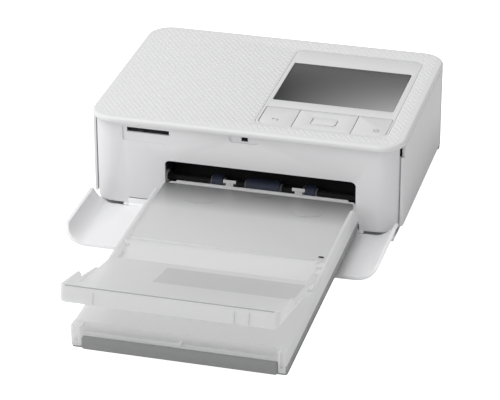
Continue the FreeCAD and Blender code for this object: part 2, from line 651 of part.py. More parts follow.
def slab(name, plane, u, v, w, radius):
    """A plate with rounded corners: spans u and v in its plane, w across it."""
    body, sketch = new_sketch(name, plane, *w)
    left, right, low, high = (value(text) for text in (*u, *v))
    bend = value(radius)
    vector = FreeCAD.Vector
    lines = [
        Part.LineSegment(vector(left + bend, low, 0), vector(right - bend, low, 0)),
        Part.LineSegment(vector(right, low + bend, 0), vector(right, high - bend, 0)),
        Part.LineSegment(vector(right - bend, high, 0), vector(left + bend, high, 0)),
        Part.LineSegment(vector(left, high - bend, 0), vector(left, low + bend, 0)),
    ]
    centres = [(right - bend, low + bend), (right - bend, high - bend),
               (left + bend, high - bend), (left + bend, low + bend)]
    arcs = []
    for corner, (across, along) in enumerate(centres):
        circle = Part.Circle(vector(across, along, 0), vector(0, 0, 1), bend)
        start = math.radians(90 * corner - 90)
        arcs.append(Part.ArcOfCircle(circle, start, start + math.pi / 2))
    sketch.addGeometry(lines + arcs)
    rules = []
    for side in range(4):
        rules.append(Sketcher.Constraint("Tangent", side, 2, 4 + side, 1))
        rules.append(Sketcher.Constraint("Tangent", 4 + side, 2, (side + 1) % 4, 1))
        rules.append(Sketcher.Constraint("Vertical" if side % 2 else "Horizontal", side))
    rules += [Sketcher.Constraint("Equal", 4, arc) for arc in (5, 6, 7)]
    first = len(rules)
    rules += [
        Sketcher.Constraint("DistanceX", -1, 1, 3, 1, left),
        Sketcher.Constraint("DistanceX", -1, 1, 1, 1, right),
        Sketcher.Constraint("DistanceY", -1, 1, 0, 1, low),
        Sketcher.Constraint("DistanceY", -1, 1, 2, 1, high),
        Sketcher.Constraint("Radius", 4, bend),
    ]
    sketch.addConstraint(rules)
    for offset, text in enumerate((*u, *v, radius)):
        bind(sketch, f"Constraints[{first + offset}]", text)
    return finish_pad(body, sketch, *w)


def prism(name, plane, points, w):
    """A straight-sided outline of named points, padded across its plane."""
    body, sketch = new_sketch(name, plane, *w)
    places = [FreeCAD.Vector(value(across), value(along), 0) for across, along in points]
    count = len(points)
    sketch.addGeometry([Part.LineSegment(places[i], places[(i + 1) % count]) for i in range(count)])
    rules = [Sketcher.Constraint("Coincident", i, 2, (i + 1) % count, 1) for i in range(count)]
    for index, place in enumerate(places):
        rules.append(Sketcher.Constraint("DistanceX", -1, 1, index, 1, place.x))
        rules.append(Sketcher.Constraint("DistanceY", -1, 1, index, 1, place.y))
    sketch.addConstraint(rules)
    for index, point in enumerate(points):
        bind(sketch, f"Constraints[{count + 2 * index}]", point[0])
        bind(sketch, f"Constraints[{count + 2 * index + 1}]", point[1])
    return finish_pad(body, sketch, *w)


def round_edges(body, size, chosen):
    """A fillet on the body's edges that a test picks out."""
    doc.recompute()
    last = body.Tip
    edges = [f"Edge{number + 1}" for number, edge in enumerate(last.Shape.Edges) if chosen(edge)]
    fillet = body.newObject("PartDesign::Fillet", f"{body.Name}_round")
    fillet.Base = (last, edges)
    bind(fillet, "Radius", size)
    return body


def level_edge(height):
    """Picks edges that lie level at a height."""
    level = value(height)

    def chosen(edge):
        box = edge.BoundBox
        return abs(box.ZMin - level) < 1e-4 and abs(box.ZMax - level) < 1e-4

    return chosen


def plan(name, inset, z, radius):
    """A slab with the housing's outline, drawn in by an inset."""
    across = (f"-half_width + ({inset})", f"half_width - ({inset})")
    along = (f"front_y + ({inset})", f"rear_y - ({inset})")
    return slab(name, "XY", across, along, z, radius)


def mirrored_pair(maker):
    """Two copies, at -1 and +1 times their place in X."""
    return [maker("-1"), maker("1")]


# Housing

def top_cover():
    outer = plan("cover", "0", ("rim_z", "body_top"), "corner_radius")
    round_edges(outer, "top_edge_round", level_edge("body_top"))
    pocket = plan("cover_pocket", "wall", ("rim_z - overrun", "lid_z"), "corner_radius - wall")
    seat = slab("panel_seat", "XY", ("panel_left_x - panel_gap", "panel_right_x + panel_gap"),
                ("panel_front_y - panel_gap", "panel_rear_y + panel_gap"),
                ("panel_low_z", "body_top + overrun"), "panel_round + panel_gap")
    way = slab("panel_way", "XY", ("panel_left_x + panel_ledge", "panel_right_x - panel_ledge"),
               ("panel_front_y + panel_ledge", "panel_rear_y - panel_ledge"),
               ("rim_z - overrun", "body_top"), "panel_round - panel_ledge")
    node("top_cover", cut("top_cover_solid", outer, pocket, seat, way))


def knob_span(side, gap):
    """A hinge knob's reach along X on one side, grown by a gap."""
    middle = f"{side} * (notch_half + knob_width / 2)"
    return f"{middle} - knob_width / 2 - {gap}", f"{middle} + knob_width / 2 + {gap}"


def front_shell():
    past = ("front_edge_z - overrun", "body_top")
    outer = plan("front", "face_inset", ("front_edge_z", "lid_z"), "corner_radius - face_inset")
    hollow = plan("front_hollow", "face_inset + wall", past, "corner_radius - face_inset - wall")
    behind = block("front_behind", ("-body_width", "body_width"), ("step_y + wall", "body_depth"), past)
    opening = slab("print_opening", "XZ", ("slot_left_x", "slot_right_x"), ("-slot_top_z", "slot_top_z"),
                   ("front_y - overrun", "shell_in_y + overrun"), "slot_round")
    notch = block("front_notch", ("-notch_half", "notch_half"), ("front_y", "shell_in_y + overrun"),
                  ("0", "notch_top_z"))
    card = block("card_slot", ("card_left_x", "card_right_x"), ("front_y", "shell_in_y + overrun"),
                 ("card_low_z", "card_high_z"))
    field = slab("card_field", "XZ", ("card_left_x - card_border", "card_right_x + card_border"),
                 ("card_low_z - card_drop", "card_high_z + card_border / 2"),
                 ("front_y", "face_y + field_depth"), "card_border / 2")
    latch = slab("latch_recess", "XZ",
                 ("latch_x - latch_length / 2", "latch_x + latch_length / 2"),
                 ("latch_z - latch_height / 2", "latch_z + latch_height / 2"),
                 ("front_y", "face_y + latch_depth"), "latch_height * latch_end_share")
    hole = block("latch_hole", ("latch_hole_x - latch_hole_width / 2", "latch_hole_x + latch_hole_width / 2"),
                 ("front_y", "shell_in_y + overrun"),
                 ("latch_z - latch_hole_height / 2", "latch_z + latch_hole_height / 2"))
    finger = block("finger_gap", ("shell_in_x - overrun", "half_width"), ("step_y", "body_depth"),
                   ("finger_low_z", "body_top"))
    shell = cut("front_walls", outer, hollow, behind, opening, notch, card, field, latch, hole, finger)
    knobs = mirrored_pair(lambda side: block(
        "knob", knob_span(side, "0"), ("face_y", "shell_in_y"), ("hinge_z", "notch_top_z")))
    knobs += mirrored_pair(lambda side: rod(
        "knob_eye", "x", "hinge_y", "hinge_z", knob_span(side, "0"), "knob_eye_radius"))
    bores = [rod("knob_bore", "x", "hinge_y", "hinge_z", ("-body_width", "body_width"),
                 "door_pin_radius + bush_seat_gap")]
    node("front_shell", cut("front_shell_solid", join("front_with_knobs", shell, *knobs), *bores))


def left_panel():
    plate = block("left_plate", ("-half_width", "-inner_x"), ("step_y", "split_y"), ("shell_bottom", "rim_z"))
    port = block("usb_hole", ("-body_width", "body_width"),
                 ("usb_y - usb_width / 2 - seam", "usb_y + usb_width / 2 + seam"),
                 ("main_z + board_thickness - seam", "main_z + board_thickness + usb_height + seam"))
    corner = plan("left_corner", "0", ("shell_bottom", "rim_z"), "corner_radius")
    node("left_side_panel", cut("left_panel_solid", common("left_panel_plate", plate, corner), port))


def rear_shell():
    outer = plan("rear", "0", ("shell_bottom", "rim_z"), "corner_radius")
    past = ("shell_bottom - overrun", "rim_z + overrun")
    hollow = plan("rear_hollow", "wall", past, "corner_radius - wall")
    before = block("rear_before", ("-body_width", "body_width"), ("-body_depth", "split_y"), past)
    through = ("rear_in_y - overrun", "rear_y + overrun")
    paper = slab("exit_slot", "XZ", ("slot_left_x", "slot_right_x"), ("exit_low_z", "exit_high_z"),
                 through, "exit_round")
    jack = rod("jack_hole", "y", "jack_x", "jack_z", through, "jack_ring_radius")
    terminal = block("terminal_hole", ("terminal_left_x", "terminal_left_x + terminal_width"), through,
                     ("terminal_low_z", "terminal_low_z + terminal_height"))
    vents = []
    for number in range(int(value("vent_count"))):
        middle = f"vent_first_x + {number} * vent_step"
        vents.append(block("vent", (f"{middle} - vent_width / 2", f"{middle} + vent_width / 2"), through,
                           ("vent_low_z", "vent_high_z")))
    node("rear_shell", cut("rear_shell_solid", outer, hollow, before, paper, jack, terminal, *vents))


def terminal_cover():
    across = ("terminal_left_x + seam / 2", "terminal_left_x + terminal_width - seam / 2")
    node("terminal_cover", block("terminal_plate", across, ("rear_in_y", "rear_y"),
                                 ("terminal_low_z + seam / 2",
                                  "terminal_low_z + terminal_height - seam / 2")))
    inner = ("terminal_left_x + wall", "terminal_left_x + terminal_width - wall")
    body = block("terminal_body", inner, ("rear_in_y - terminal_depth", "rear_in_y"),
                 ("terminal_low_z + wall", "terminal_low_z + terminal_height - wall"))
    blades = []
    step = "(terminal_width - 2 * wall) / terminal_count"
    for number in range(int(value("terminal_count"))):
        middle = f"terminal_left_x + wall + ({number} + 0.5) * {step}"
        blades.append(block("blade", (f"{middle} - blade_width / 2", f"{middle} + blade_width / 2"),
                            ("rear_in_y - terminal_depth - blade_length", "rear_in_y - terminal_depth"),
                            ("terminal_low_z + 2 * wall", "terminal_low_z + terminal_height - 2 * wall")))
    node("battery_terminal_block", join("terminal_block_solid", body, *blades))


def post_places():
    return [(x, y) for x in ("post_left_x", "post_right_x") for y in ("post_front_y", "post_rear_y")]


def base_pan():
    edge = ("-shell_in_x + seam", "shell_in_x - seam")
    floor = block("pan_floor", edge, ("pan_front_y", "rear_in_y"), ("pan_low_z", "pan_top_z"))
    rim = block("pan_rim", edge, ("step_y + wall", "rear_in_y"), ("pan_low_z", "pan_rim_z"))
    rim_hollow = block("pan_rim_hollow", ("-shell_in_x + seam + pan_wall", "shell_in_x - seam - pan_wall"),
                       ("-body_depth", "rear_in_y - pan_wall"), ("pan_top_z", "pan_rim_z + overrun"))
    tabs = mirrored_pair(lambda side: block(
        "pan_tab", (f"{side} * (pan_tab_inner + pan_tab_outer) / 2 - (pan_tab_outer - pan_tab_inner) / 2",
                    f"{side} * (pan_tab_inner + pan_tab_outer) / 2 + (pan_tab_outer - pan_tab_inner) / 2"),
        ("shell_in_y", "pan_front_y + overrun"), ("pan_low_z", "front_edge_z + pan_wall")))
    rear_tab = block("pan_rear_tab", ("-pan_tab_inner", "pan_tab_inner"), ("rear_in_y - wall", "rear_in_y"),
                     ("pan_low_z", "pan_top_z"))
    ear = block("side_ear", ("half_width - side_ear_width", "half_width"),
                ("side_axis_y - side_ear_length / 2", "side_axis_y + side_ear_length / 2"),
                ("side_ear_low_z", "side_bottom_z - seam"))
    posts = [rod("post", "z", x, y, ("pan_low_z", "chassis_low_z"), "post_radius") for x, y in post_places()]
    tall = [rod("card_post", "z", x, "card_post_y", ("pan_low_z", "card_board_z"), "board_post_radius")
            for x in ("card_post_left_x", "card_post_right_x")]
    short = [rod("main_post", "z", "main_post_x", y, ("pan_low_z", "main_z"), "board_post_radius")
             for y in ("main_post_front_y", "main_post_rear_y")]
    holes = [rod("screw_hole", "z", x, y, ("0", "chassis_low_z + overrun"), "screw_radius + fit_gap")
             for x, y in post_places()]
    corner = plan("pan_corner", "wall + seam", ("0", "pan_rim_z + overrun"), "corner_radius - wall - seam")
    front_corner = slab("pan_front_corner", "XY", edge, ("shell_in_y + seam", "body_depth"),
                        ("0", "pan_rim_z + overrun"), "corner_radius - face_inset - wall - seam")
    box = join("pan_box", floor, cut("pan_walls", rim, rim_hollow))
    tray = common("pan_tray", common("pan_fitted", box, corner), front_corner)
    parts = join("pan_parts", tray, *tabs, rear_tab, ear, *posts, *tall, *short)
    node("base_pan", cut("base_pan_solid", parts, *holes))
    feet = [rod("foot", "z", f"{side} * foot_x", y, ("0", "pan_low_z"), "foot_radius")
            for side in ("-1", "1") for y in ("foot_front_y", "foot_rear_y")]
    middle = rod("foot", "z", "0", "0", ("0", "pan_low_z"), "foot_radius")
    node("rubber_feet", group("feet", middle, *feet))
    screws = []
    for x, y in post_places():
        head = rod("screw_head", "z", x, y, ("pan_low_z - screw_head_height", "pan_low_z"),
                   "screw_head_radius")
        shank = rod("screw_shank", "z", x, y, ("pan_low_z - screw_head_height / 2", "screw_end_z"),
                    "screw_radius")
        screws.append(join("screw", head, shank))
    node("housing_screws", group("screws", *screws))


# Door and side cover

def front_door():
    reach = ("door_edge_y", "hinge_y")
    outer = slab("door_outer", "XZ", ("-half_width", "half_width"),
                 ("door_lift", "door_lift + 2 * wrap_length + 2 * corner_radius"), reach, "corner_radius")
    hollow = slab("door_hollow", "XZ", ("-half_width + door_wall", "half_width - door_wall"),
                  ("door_in_z", "door_lift + 2 * wrap_length + 2 * corner_radius"),
                  ("door_edge_y - overrun", "hinge_y + overrun"), "corner_radius - door_wall")
    above = block("door_above", ("-body_width", "body_width"), ("door_edge_y - overrun", "hinge_y + overrun"),
                  ("door_lift + wrap_length - seam", "body_top"))
    tray = cut("door_tray", outer, hollow, above)
    keep = slab("door_keep", "YZ", ("door_edge_y", "hinge_y + door_reach"),
                ("door_lift - body_top", "door_lift + wrap_length"),
                ("-body_width", "body_width"), "door_corner_cut")
    tray = common("door_rounded", tray, keep)
    relief = mirrored_pair(lambda side: block(
        "door_relief", knob_span(side, "door_barrel_gap"),
        ("hinge_y - knob_eye_radius - door_barrel_gap", "hinge_y + overrun"), ("0", "door_in_z + overrun")))
    barrel = rod("door_barrel", "x", "hinge_y", "hinge_z",
                 ("-notch_half + door_barrel_gap", "notch_half - door_barrel_gap"), "hinge_z - door_lift")
    flap = block("door_flap", ("-notch_half + door_barrel_gap", "door_flap_right_x"),
                 ("hinge_y - door_wall / 2", "hinge_y + seam"), ("hinge_z", "hinge_z + door_flap_height"))
    tab_y = "hinge_y - (latch_z - hinge_z)"
    tab = block("door_tab", ("latch_hole_x - door_tab_width / 2", "latch_hole_x + door_tab_width / 2"),
                (f"{tab_y} - door_tab_thickness / 2", f"{tab_y} + door_tab_thickness / 2"),
                ("door_lift + door_wall / 2", "door_in_z + door_tab_height"))
    bore = rod("door_bore", "x", "hinge_y", "hinge_z", ("-body_width", "body_width"),
               "door_pin_radius + fit_gap")
    solid = join("door_parts", cut("door_relieved", tray, *relief), barrel, flap, tab)
    node("front_door", cut("front_door_solid", solid, bore))
    pins = mirrored_pair(lambda side: rod(
        "door_pin", "x", "hinge_y", "hinge_z",
        (f"{side} * notch_half - knob_width", f"{side} * notch_half + knob_width"), "door_pin_radius"))
    node("door_hinge_pins", group("door_pins", *pins))


def side_cover():
    plate = block("side_plate", ("inner_x", "half_width"), ("step_y", "side_axis_y"),
                  ("side_bottom_z", "rim_z - seam"))
    nose = rod("side_nose", "z", "side_axis_x", "side_axis_y", ("side_bottom_z", "rim_z - seam"), "wall / 2")
    finger = block("side_finger", ("inner_x - overrun", "half_width + overrun"),
                   ("step_y - overrun", "step_y + finger_depth"), ("finger_low_z", "rim_z"))
    bore = rod("side_bore", "z", "side_axis_x", "side_axis_y", ("0", "body_top"),
               "side_pin_radius + fit_gap")
    corner = plan("right_corner", "0", ("0", "body_top"), "corner_radius")
    shaped = common("side_shaped", join("side_parts", plate, nose), corner)
    node("side_cover", cut("side_cover_solid", shaped, finger, bore))
    low = rod("side_pin", "z", "side_axis_x", "side_axis_y",
              ("side_bottom_z - seam", "side_bottom_z + side_pin_length"), "side_pin_radius")
    high = rod("side_pin", "z", "side_axis_x", "side_axis_y", ("rim_z - side_pin_length", "rim_z"),
               "side_pin_radius")
    node("side_cover_pins", group("side_pins", low, high))


# Control panel

def key_field(name, across, height, gap):
    """A key's outline grown by a gap, with the key row's two wide front corners."""
    depth = (f"key_front_y - {gap}", f"key_rear_y + {gap}")
    outline = slab(name, "XY", across, depth, height, f"key_round + {gap}")
    field = slab(f"{name}_field", "XY", (f"key_left_x - {gap}", f"key_right_x + {gap}"),
                 (depth[0], "key_rear_y + 2 * key_corner"), height, f"key_corner + {gap}")
    return common(f"{name}_outline", outline, field)


def control_panel():
    plate = slab("bezel", "XY", ("panel_left_x", "panel_right_x"), ("panel_front_y", "panel_rear_y"),
                 ("panel_low_z", "panel_top_z"), "panel_round")
    past = ("panel_low_z - overrun", "panel_top_z + overrun")
    window = slab("bezel_window", "XY", ("window_left_x - window_gap", "window_right_x + window_gap"),
                  ("window_front_y - window_gap", "window_rear_y + window_gap"), past,
                  "window_round + window_gap")
    keys = key_field("bezel_keys", ("key_left_x - key_gap", "key_right_x + key_gap"), past, "key_gap")
    node("panel_bezel", cut("bezel_solid", plate, window, keys))
    node("display_window", slab("window", "XY", ("window_left_x", "window_right_x"),
                                ("window_front_y", "window_rear_y"),
                                ("panel_low_z", "body_top - window_drop"), "window_round"))
    display = block("display", ("window_left_x - display_border", "window_right_x + display_border"),
                    ("window_front_y - display_border", "window_rear_y + display_border"),
                    ("display_low_z", "panel_low_z"))
    node("display_module", display)
    carrier = slab("carrier", "XY", ("panel_left_x - carrier_margin", "panel_right_x + carrier_margin / 2"),
                   ("carrier_front_y", "carrier_rear_y"),
                   ("display_low_z - carrier_thickness", "display_low_z"), "carrier_post_radius")
    posts = []
    for x in ("panel_left_x - carrier_margin / 2", "panel_right_x + carrier_post_radius / 2"):
        for y in ("carrier_front_y + carrier_post_radius", "carrier_rear_y - carrier_post_radius"):
            posts.append(rod("carrier_post", "z", x, y, ("display_low_z - carrier_thickness / 2", "lid_z"),
                             "carrier_post_radius"))
    node("panel_carrier", join("carrier_solid", carrier, *posts))
    board_top = "display_low_z + key_board_thickness"
    board = block("key_board", ("key_left_x", "key_right_x"), ("key_front_y", "key_rear_y"),
                  ("display_low_z", board_top))
    domes = []
    for x in ("(key_left_x + key_gap_one_x) / 2", "(confirm_left_x + confirm_right_x) / 2",
              "(key_gap_two_x + key_right_x) / 2"):
        domes.append(rod("dome", "z", x, "(confirm_front_y + confirm_rear_y) / 2",
                         (board_top, f"{board_top} + dome_height"), "dome_radius"))
    domes.append(rod("dome", "z", "(key_gap_one_x + confirm_left_x) / 2",
                     "(key_front_y + confirm_front_y) / 2",
                     (board_top, f"{board_top} + dome_height"), "dome_radius"))
    node("key_board", join("key_board_solid", board, *domes))


def keys():
    height = ("key_low_z", "key_top_z")
    depth = ("key_front_y", "key_rear_y")
    node("menu_key", key_field("menu_key", ("key_left_x", "key_gap_one_x - key_gap / 2"), height, "0"))
    pad = slab("pad", "XY", ("key_gap_one_x + key_gap / 2", "key_gap_two_x - key_gap / 2"), depth, height,
               "key_round")
    hole = slab("pad_hole", "XY", ("confirm_left_x - confirm_gap", "confirm_right_x + confirm_gap"),
                ("confirm_front_y - confirm_gap", "confirm_rear_y + confirm_gap"),
                ("key_low_z - overrun", "key_top_z + overrun"), "confirm_round + confirm_gap")
    node("direction_pad", cut("pad_solid", pad, hole))
    node("confirm_button", slab("confirm", "XY", ("confirm_left_x", "confirm_right_x"),
                                ("confirm_front_y", "confirm_rear_y"),
                                ("key_low_z", "key_top_z + confirm_rise"), "confirm_round"))
    node("power_key", key_field("power_key", ("key_gap_two_x + key_gap / 2", "key_right_x"), height, "0"))


# Chassis and boards

ROLLER_SHAFTS = (
    ("pick_y", "pick_z", "pick_shaft_radius"),
    ("platen_y", "platen_z", "platen_shaft_radius"),
    ("grip_y", "grip_z", "grip_shaft_radius"),
)


def cheek(name, low, high):
    """One side plate with an arm that reaches forward to the pick-up shaft."""
    points = [
        ("cheek_front_y", "cheek_low_z"), ("chassis_front_y", "cheek_low_z"),
        ("chassis_front_y", "chassis_low_z"), ("chassis_rear_y", "chassis_low_z"),
        ("chassis_rear_y", "cheek_top_z"), ("chassis_front_y", "cheek_top_z"),
        ("cheek_front_y", "pick_z + 2 * pick_radius"),
    ]
    return prism(name, "YZ", points, (low, high))


def chassis():
    floor = block("chassis_floor", ("chassis_left_x", "chassis_right_x"),
                  ("chassis_front_y", "chassis_rear_y"),
                  ("chassis_low_z", "chassis_top_z"))
    left = cheek("left_cheek", "chassis_left_x", "cheek_left_in_x")
    right = cheek("right_cheek", "cheek_right_in_x", "chassis_right_x")
    across = ("chassis_left_x - overrun", "chassis_right_x + overrun")
    holes = [rod("bush_hole", "x", y, z, across, f"{radius} + fit_gap + bush_wall + bush_seat_gap")
             for y, z, radius in ROLLER_SHAFTS]
    holes += [rod("peg_hole", "x", f"platen_y + {side} * tub_radius", "spool_z",
                  ("chassis_left_x - overrun", "cheek_left_in_x + overrun"), "tub_wall + fit_gap")
              for side in ("-1", "1")]
    holes.append(rod("pinch_hole", "x", "grip_y", "pinch_z", across, "pinch_shaft_radius + fit_gap"))
    holes.append(rod("pivot_hole", "x", "arm_axis_y", "arm_axis_z", across, "arm_pin_radius + bush_seat_gap"))
    holes += [rod("chassis_screw", "z", x, y, ("pan_top_z", "chassis_top_z + overrun"),
                  "screw_radius + fit_gap") for x, y in post_places()]
    way = block("ribbon_way", ("cheek_right_in_x - overrun", "chassis_right_x + overrun"),
                ("door_way_front_y", "door_way_rear_y"), ("door_way_low_z", "cheek_top_z + overrun"))
    pins = []
    for y, z in idler_centres():
        pins.append(rod("idler_pin", "x", y, z, ("gear_left_x", "chassis_left_x + sheet / 2"),
                        "idler_pin_radius"))
    body = cut("chassis_bent", join("chassis_sheet", floor, left, right), *holes, way)
    node("chassis_frame", join("chassis_solid", body, *pins))
    node("head_pivot_shaft",
         rod("pivot", "x", "arm_axis_y", "arm_axis_z", ("chassis_left_x", "chassis_right_x"),
                                 "arm_pin_radius"))
    rings = []
    for y, z, radius in ROLLER_SHAFTS:
        for low, high in (("chassis_left_x", "cheek_left_in_x + bush_flange"),
                          ("cheek_right_in_x - bush_flange", "chassis_right_x")):
            ring = rod("bush", "x", y, z, (low, high), f"{radius} + fit_gap + bush_wall")
            bore = rod("bush_bore", "x", y, z, across, f"{radius} + fit_gap")
            rings.append(cut("bush_ring", ring, bore))
    node("shaft_bushes", group("bushes", *rings))


def boards():
    board = block("main_board", ("main_left_x", "main_right_x"), ("main_front_y", "main_rear_y"),
                  ("main_z", "main_z + board_thickness"))
    top = "main_z + board_thickness"
    chips = [block("chip", ("main_post_x - chip_size / 2", "main_post_x + chip_size / 2 - overrun"),
                   (f"{y} + chip_size", f"{y} + 2 * chip_size"), (top, f"{top} + chip_height"))
             for y in ("main_post_front_y", "main_post_rear_y - 3 * chip_size")]
    node("main_board", join("main_board_solid", board, *chips))
    shell = block("usb_shell", ("-half_width + wall / 2", "-half_width + wall / 2 + usb_length"),
                  ("usb_y - usb_width / 2", "usb_y + usb_width / 2"), (top, f"{top} + usb_height"))
    mouth = block("usb_mouth", ("-body_width", "-half_width + usb_length - wall"),
                  ("usb_y - usb_width / 2 + usb_wall", "usb_y + usb_width / 2 - usb_wall"),
                  (f"{top} + usb_wall", f"{top} + usb_height - usb_wall"))
    node("data_port", cut("usb_solid", shell, mouth))
    jack = block("jack", ("jack_x - jack_body / 2", "jack_x + jack_body / 2"),
                 ("rear_in_y - jack_length", "rear_in_y"), (top, "jack_z + jack_body / 2"))
    bore = rod("jack_bore", "y", "jack_x", "jack_z", ("rear_in_y - jack_bore_length", "rear_y"),
               "jack_radius")
    node("power_inlet", cut("jack_solid", jack, bore))
    node("card_board", block("card_board", ("card_board_left_x", "card_board_right_x"),
                             ("card_board_front_y", "card_board_rear_y"),
                             ("card_board_z", "card_board_z + board_thickness")))
    reader = block("reader", ("card_left_x - reader_side", "card_right_x + reader_side"),
                   ("shell_in_y", "shell_in_y + reader_depth + reader_side"),
                   ("card_board_z + board_thickness", "reader_top_z"))
    slot = block("reader_slot", ("card_left_x", "card_right_x"), ("front_y", "shell_in_y + reader_depth"),
                 ("card_low_z", "card_high_z"))
    node("card_reader", cut("reader_solid", reader, slot))


# Rollers and gears

SHAFT_SPAN = ("gear_left_x - gear_shaft_past", "chassis_right_x + shaft_past")


def pickup_roller():
    shaft = rod("pick_shaft", "x", "pick_y", "pick_z", SHAFT_SPAN, "pick_shaft_radius")
    tyres = []
    collars = []
    for start, width in (("pick_left_x", "pick_side_width"), ("pick_mid_x", "pick_mid_width"),
                         ("pick_right_x", "pick_side_width")):
        span = (start, f"{start} + {width}")
        tyre = rod("tyre", "x", "pick_y", "pick_z", span, "pick_radius")
        bore = rod("tyre_bore", "x", "pick_y", "pick_z", span, "pick_shaft_radius + tyre_fit")
        tyres.append(cut("tyre_ring", tyre, bore))
        for low, high in ((f"{start} - collar_width", start), (span[1], f"{span[1]} + collar_width")):
            collars.append(rod("collar", "x", "pick_y", "pick_z", (low, high), "collar_radius"))
    node("pickup_tyres", group("tyres", *tyres))
    node("pickup_shaft", join("pickup_shaft_solid", shaft, *collars))


def rubber_roller(label, y, z, radius, shaft_radius):
    node(f"{label}_shaft", rod(f"{label}_shaft", "x", y, z, SHAFT_SPAN, shaft_radius))
    span = ("roller_left_x", "roller_right_x")
    sleeve = rod(f"{label}_sleeve", "x", y, z, span, radius)
    bore = rod(f"{label}_bore", "x", y, z, span, f"{shaft_radius} + tyre_fit")
    node(f"{label}_roller", cut(f"{label}_roller_solid", sleeve, bore))


def pinch_roller():
    sleeve = rod("pinch", "x", "grip_y", "pinch_z", ("roller_left_x", "roller_right_x"), "pinch_radius")
    shaft = rod("pinch_shaft", "x", "grip_y", "pinch_z", ("chassis_left_x", "chassis_right_x"),
                "pinch_shaft_radius")
    node("pinch_roller", join("pinch_solid", sleeve, shaft))


def pitch_radius(teeth):
    return value("gear_module") * teeth / 2


def meeting_point(one, two, far_one, far_two):
    """The upper point at given distances from two centres."""
    gap = math.dist(one, two)
    along = (gap ** 2 + far_one ** 2 - far_two ** 2) / (2 * gap)
    up = math.sqrt(max(far_one ** 2 - along ** 2, 0))
    ahead = ((two[0] - one[0]) / gap, (two[1] - one[1]) / gap)
    side = 1 if ahead[0] > 0 else -1
    return (one[0] + along * ahead[0] - side * up * ahead[1],
            one[1] + along * ahead[1] + side * up * ahead[0])


def gear_centres():
    """Each gear's centre in Y and Z."""
    platen = (value("platen_y"), value("platen_z"))
    grip = (value("grip_y"), value("grip_z"))
    pick = (value("pick_y"), value("pick_z"))
    drive = pitch_radius(PLATEN_TEETH)
    end = pitch_radius(END_TEETH)
    rear = pitch_radius(REAR_IDLER_TEETH)
    front = pitch_radius(FRONT_IDLER_TEETH)
    angle = math.radians(value("motor_angle"))
    reach = drive + pitch_radius(PINION_TEETH)
    return {
        "platen": platen,
        "grip": grip,
        "pick": pick,
        "rear_idler": meeting_point(platen, grip, drive + rear, rear + end),
        "front_idler": meeting_point(platen, pick, drive + front, front + end),
        "pinion": (platen[0] + reach * math.cos(angle), platen[1] + reach * math.sin(angle)),
    }


def idler_centres():
    centres = gear_centres()
    return [(str(coordinate[0]), str(coordinate[1]))
            for coordinate in (centres["rear_idler"], centres["front_idler"])]


def gear_shape(teeth, centre, bore, turn):
    """A spur gear with straight flanks, with one tooth pointing along the turn."""
    module = value("gear_module")
    pitch = pitch_radius(teeth)
    half = math.pi / (2 * teeth)
    rings = (
        (pitch - TOOTH_ROOT_SHARE * module, -TOOTH_ROOT_WIDTH_SHARE),
        (pitch, -TOOTH_PITCH_WIDTH_SHARE),
        (pitch + TOOTH_TIP_SHARE * module, -TOOTH_TIP_WIDTH_SHARE),
        (pitch + TOOTH_TIP_SHARE * module, TOOTH_TIP_WIDTH_SHARE),
        (pitch, TOOTH_PITCH_WIDTH_SHARE),
        (pitch - TOOTH_ROOT_SHARE * module, TOOTH_ROOT_WIDTH_SHARE),
    )
    left = value("gear_left_x")
    points = []
    for tooth in range(teeth):
        middle = turn + 2 * math.pi * tooth / teeth
        for radius, share in rings:
            angle = middle + share * half
            points.append(FreeCAD.Vector(left, centre[0] + radius * math.cos(angle),
                                         centre[1] + radius * math.sin(angle)))
    face = Part.Face(Part.makePolygon(points + points[:1]))
    width = value("gear_width")
    solid = face.extrude(FreeCAD.Vector(width, 0, 0))
    hole = Part.makeCylinder(bore, width, FreeCAD.Vector(left, *centre), FreeCAD.Vector(1, 0, 0))
    return solid.cut(hole)


def meshed_turn(driver, driver_teeth, driver_turn, driven, driven_teeth):
    """The turn at which a driven gear's gap faces its driver's tooth."""
    line = math.atan2(driven[1] - driver[1], driven[0] - driver[0])
    phase = (line - driver_turn) * driver_teeth / (2 * math.pi)
    return line + math.pi - (0.5 - phase) * 2 * math.pi / driven_teeth


def gear_node(label, teeth, centre, bore, turn):
    item = doc.addObject("Part::Feature", sub(label))
    item.Shape = gear_shape(teeth, centre, bore, turn)
    node(label, item)


def gears():
    centres = gear_centres()
    platen = centres["platen"]
    fit = value("tyre_fit")
    gear_node("platen_gear", PLATEN_TEETH, platen, value("platen_shaft_radius") + fit, 0)
    loose = value("idler_pin_radius + fit_gap")
    train = (
        ("rear_idler", "rear_idler_gear", REAR_IDLER_TEETH, "grip", "grip_gear", "grip_shaft_radius"),
        ("front_idler", "front_idler_gear", FRONT_IDLER_TEETH, "pick", "pickup_gear", "pick_shaft_radius"),
    )
    for idler, idler_label, idler_teeth, end, end_label, shaft_radius in train:
        idler_turn = meshed_turn(platen, PLATEN_TEETH, 0, centres[idler], idler_teeth)
        gear_node(idler_label, idler_teeth, centres[idler], loose, idler_turn)
        end_turn = meshed_turn(centres[idler], idler_teeth, idler_turn, centres[end], END_TEETH)
        gear_node(end_label, END_TEETH, centres[end], value(shaft_radius) + fit, end_turn)
    pinion_turn = meshed_turn(platen, PLATEN_TEETH, 0, centres["pinion"], PINION_TEETH)
    pinion = doc.addObject("Part::Feature", sub("pinion"))
    pinion.Shape = gear_shape(PINION_TEETH, centres["pinion"], value("motor_shaft_radius") / 2, pinion_turn)
    y, z = (str(coordinate) for coordinate in centres["pinion"])
    shaft = rod("motor_shaft", "x", y, z, ("bracket_x - sheet + seam", "gear_right_x"), "motor_shaft_radius")
    node("motor_pinion", join("motor_pinion_solid", pinion, shaft))


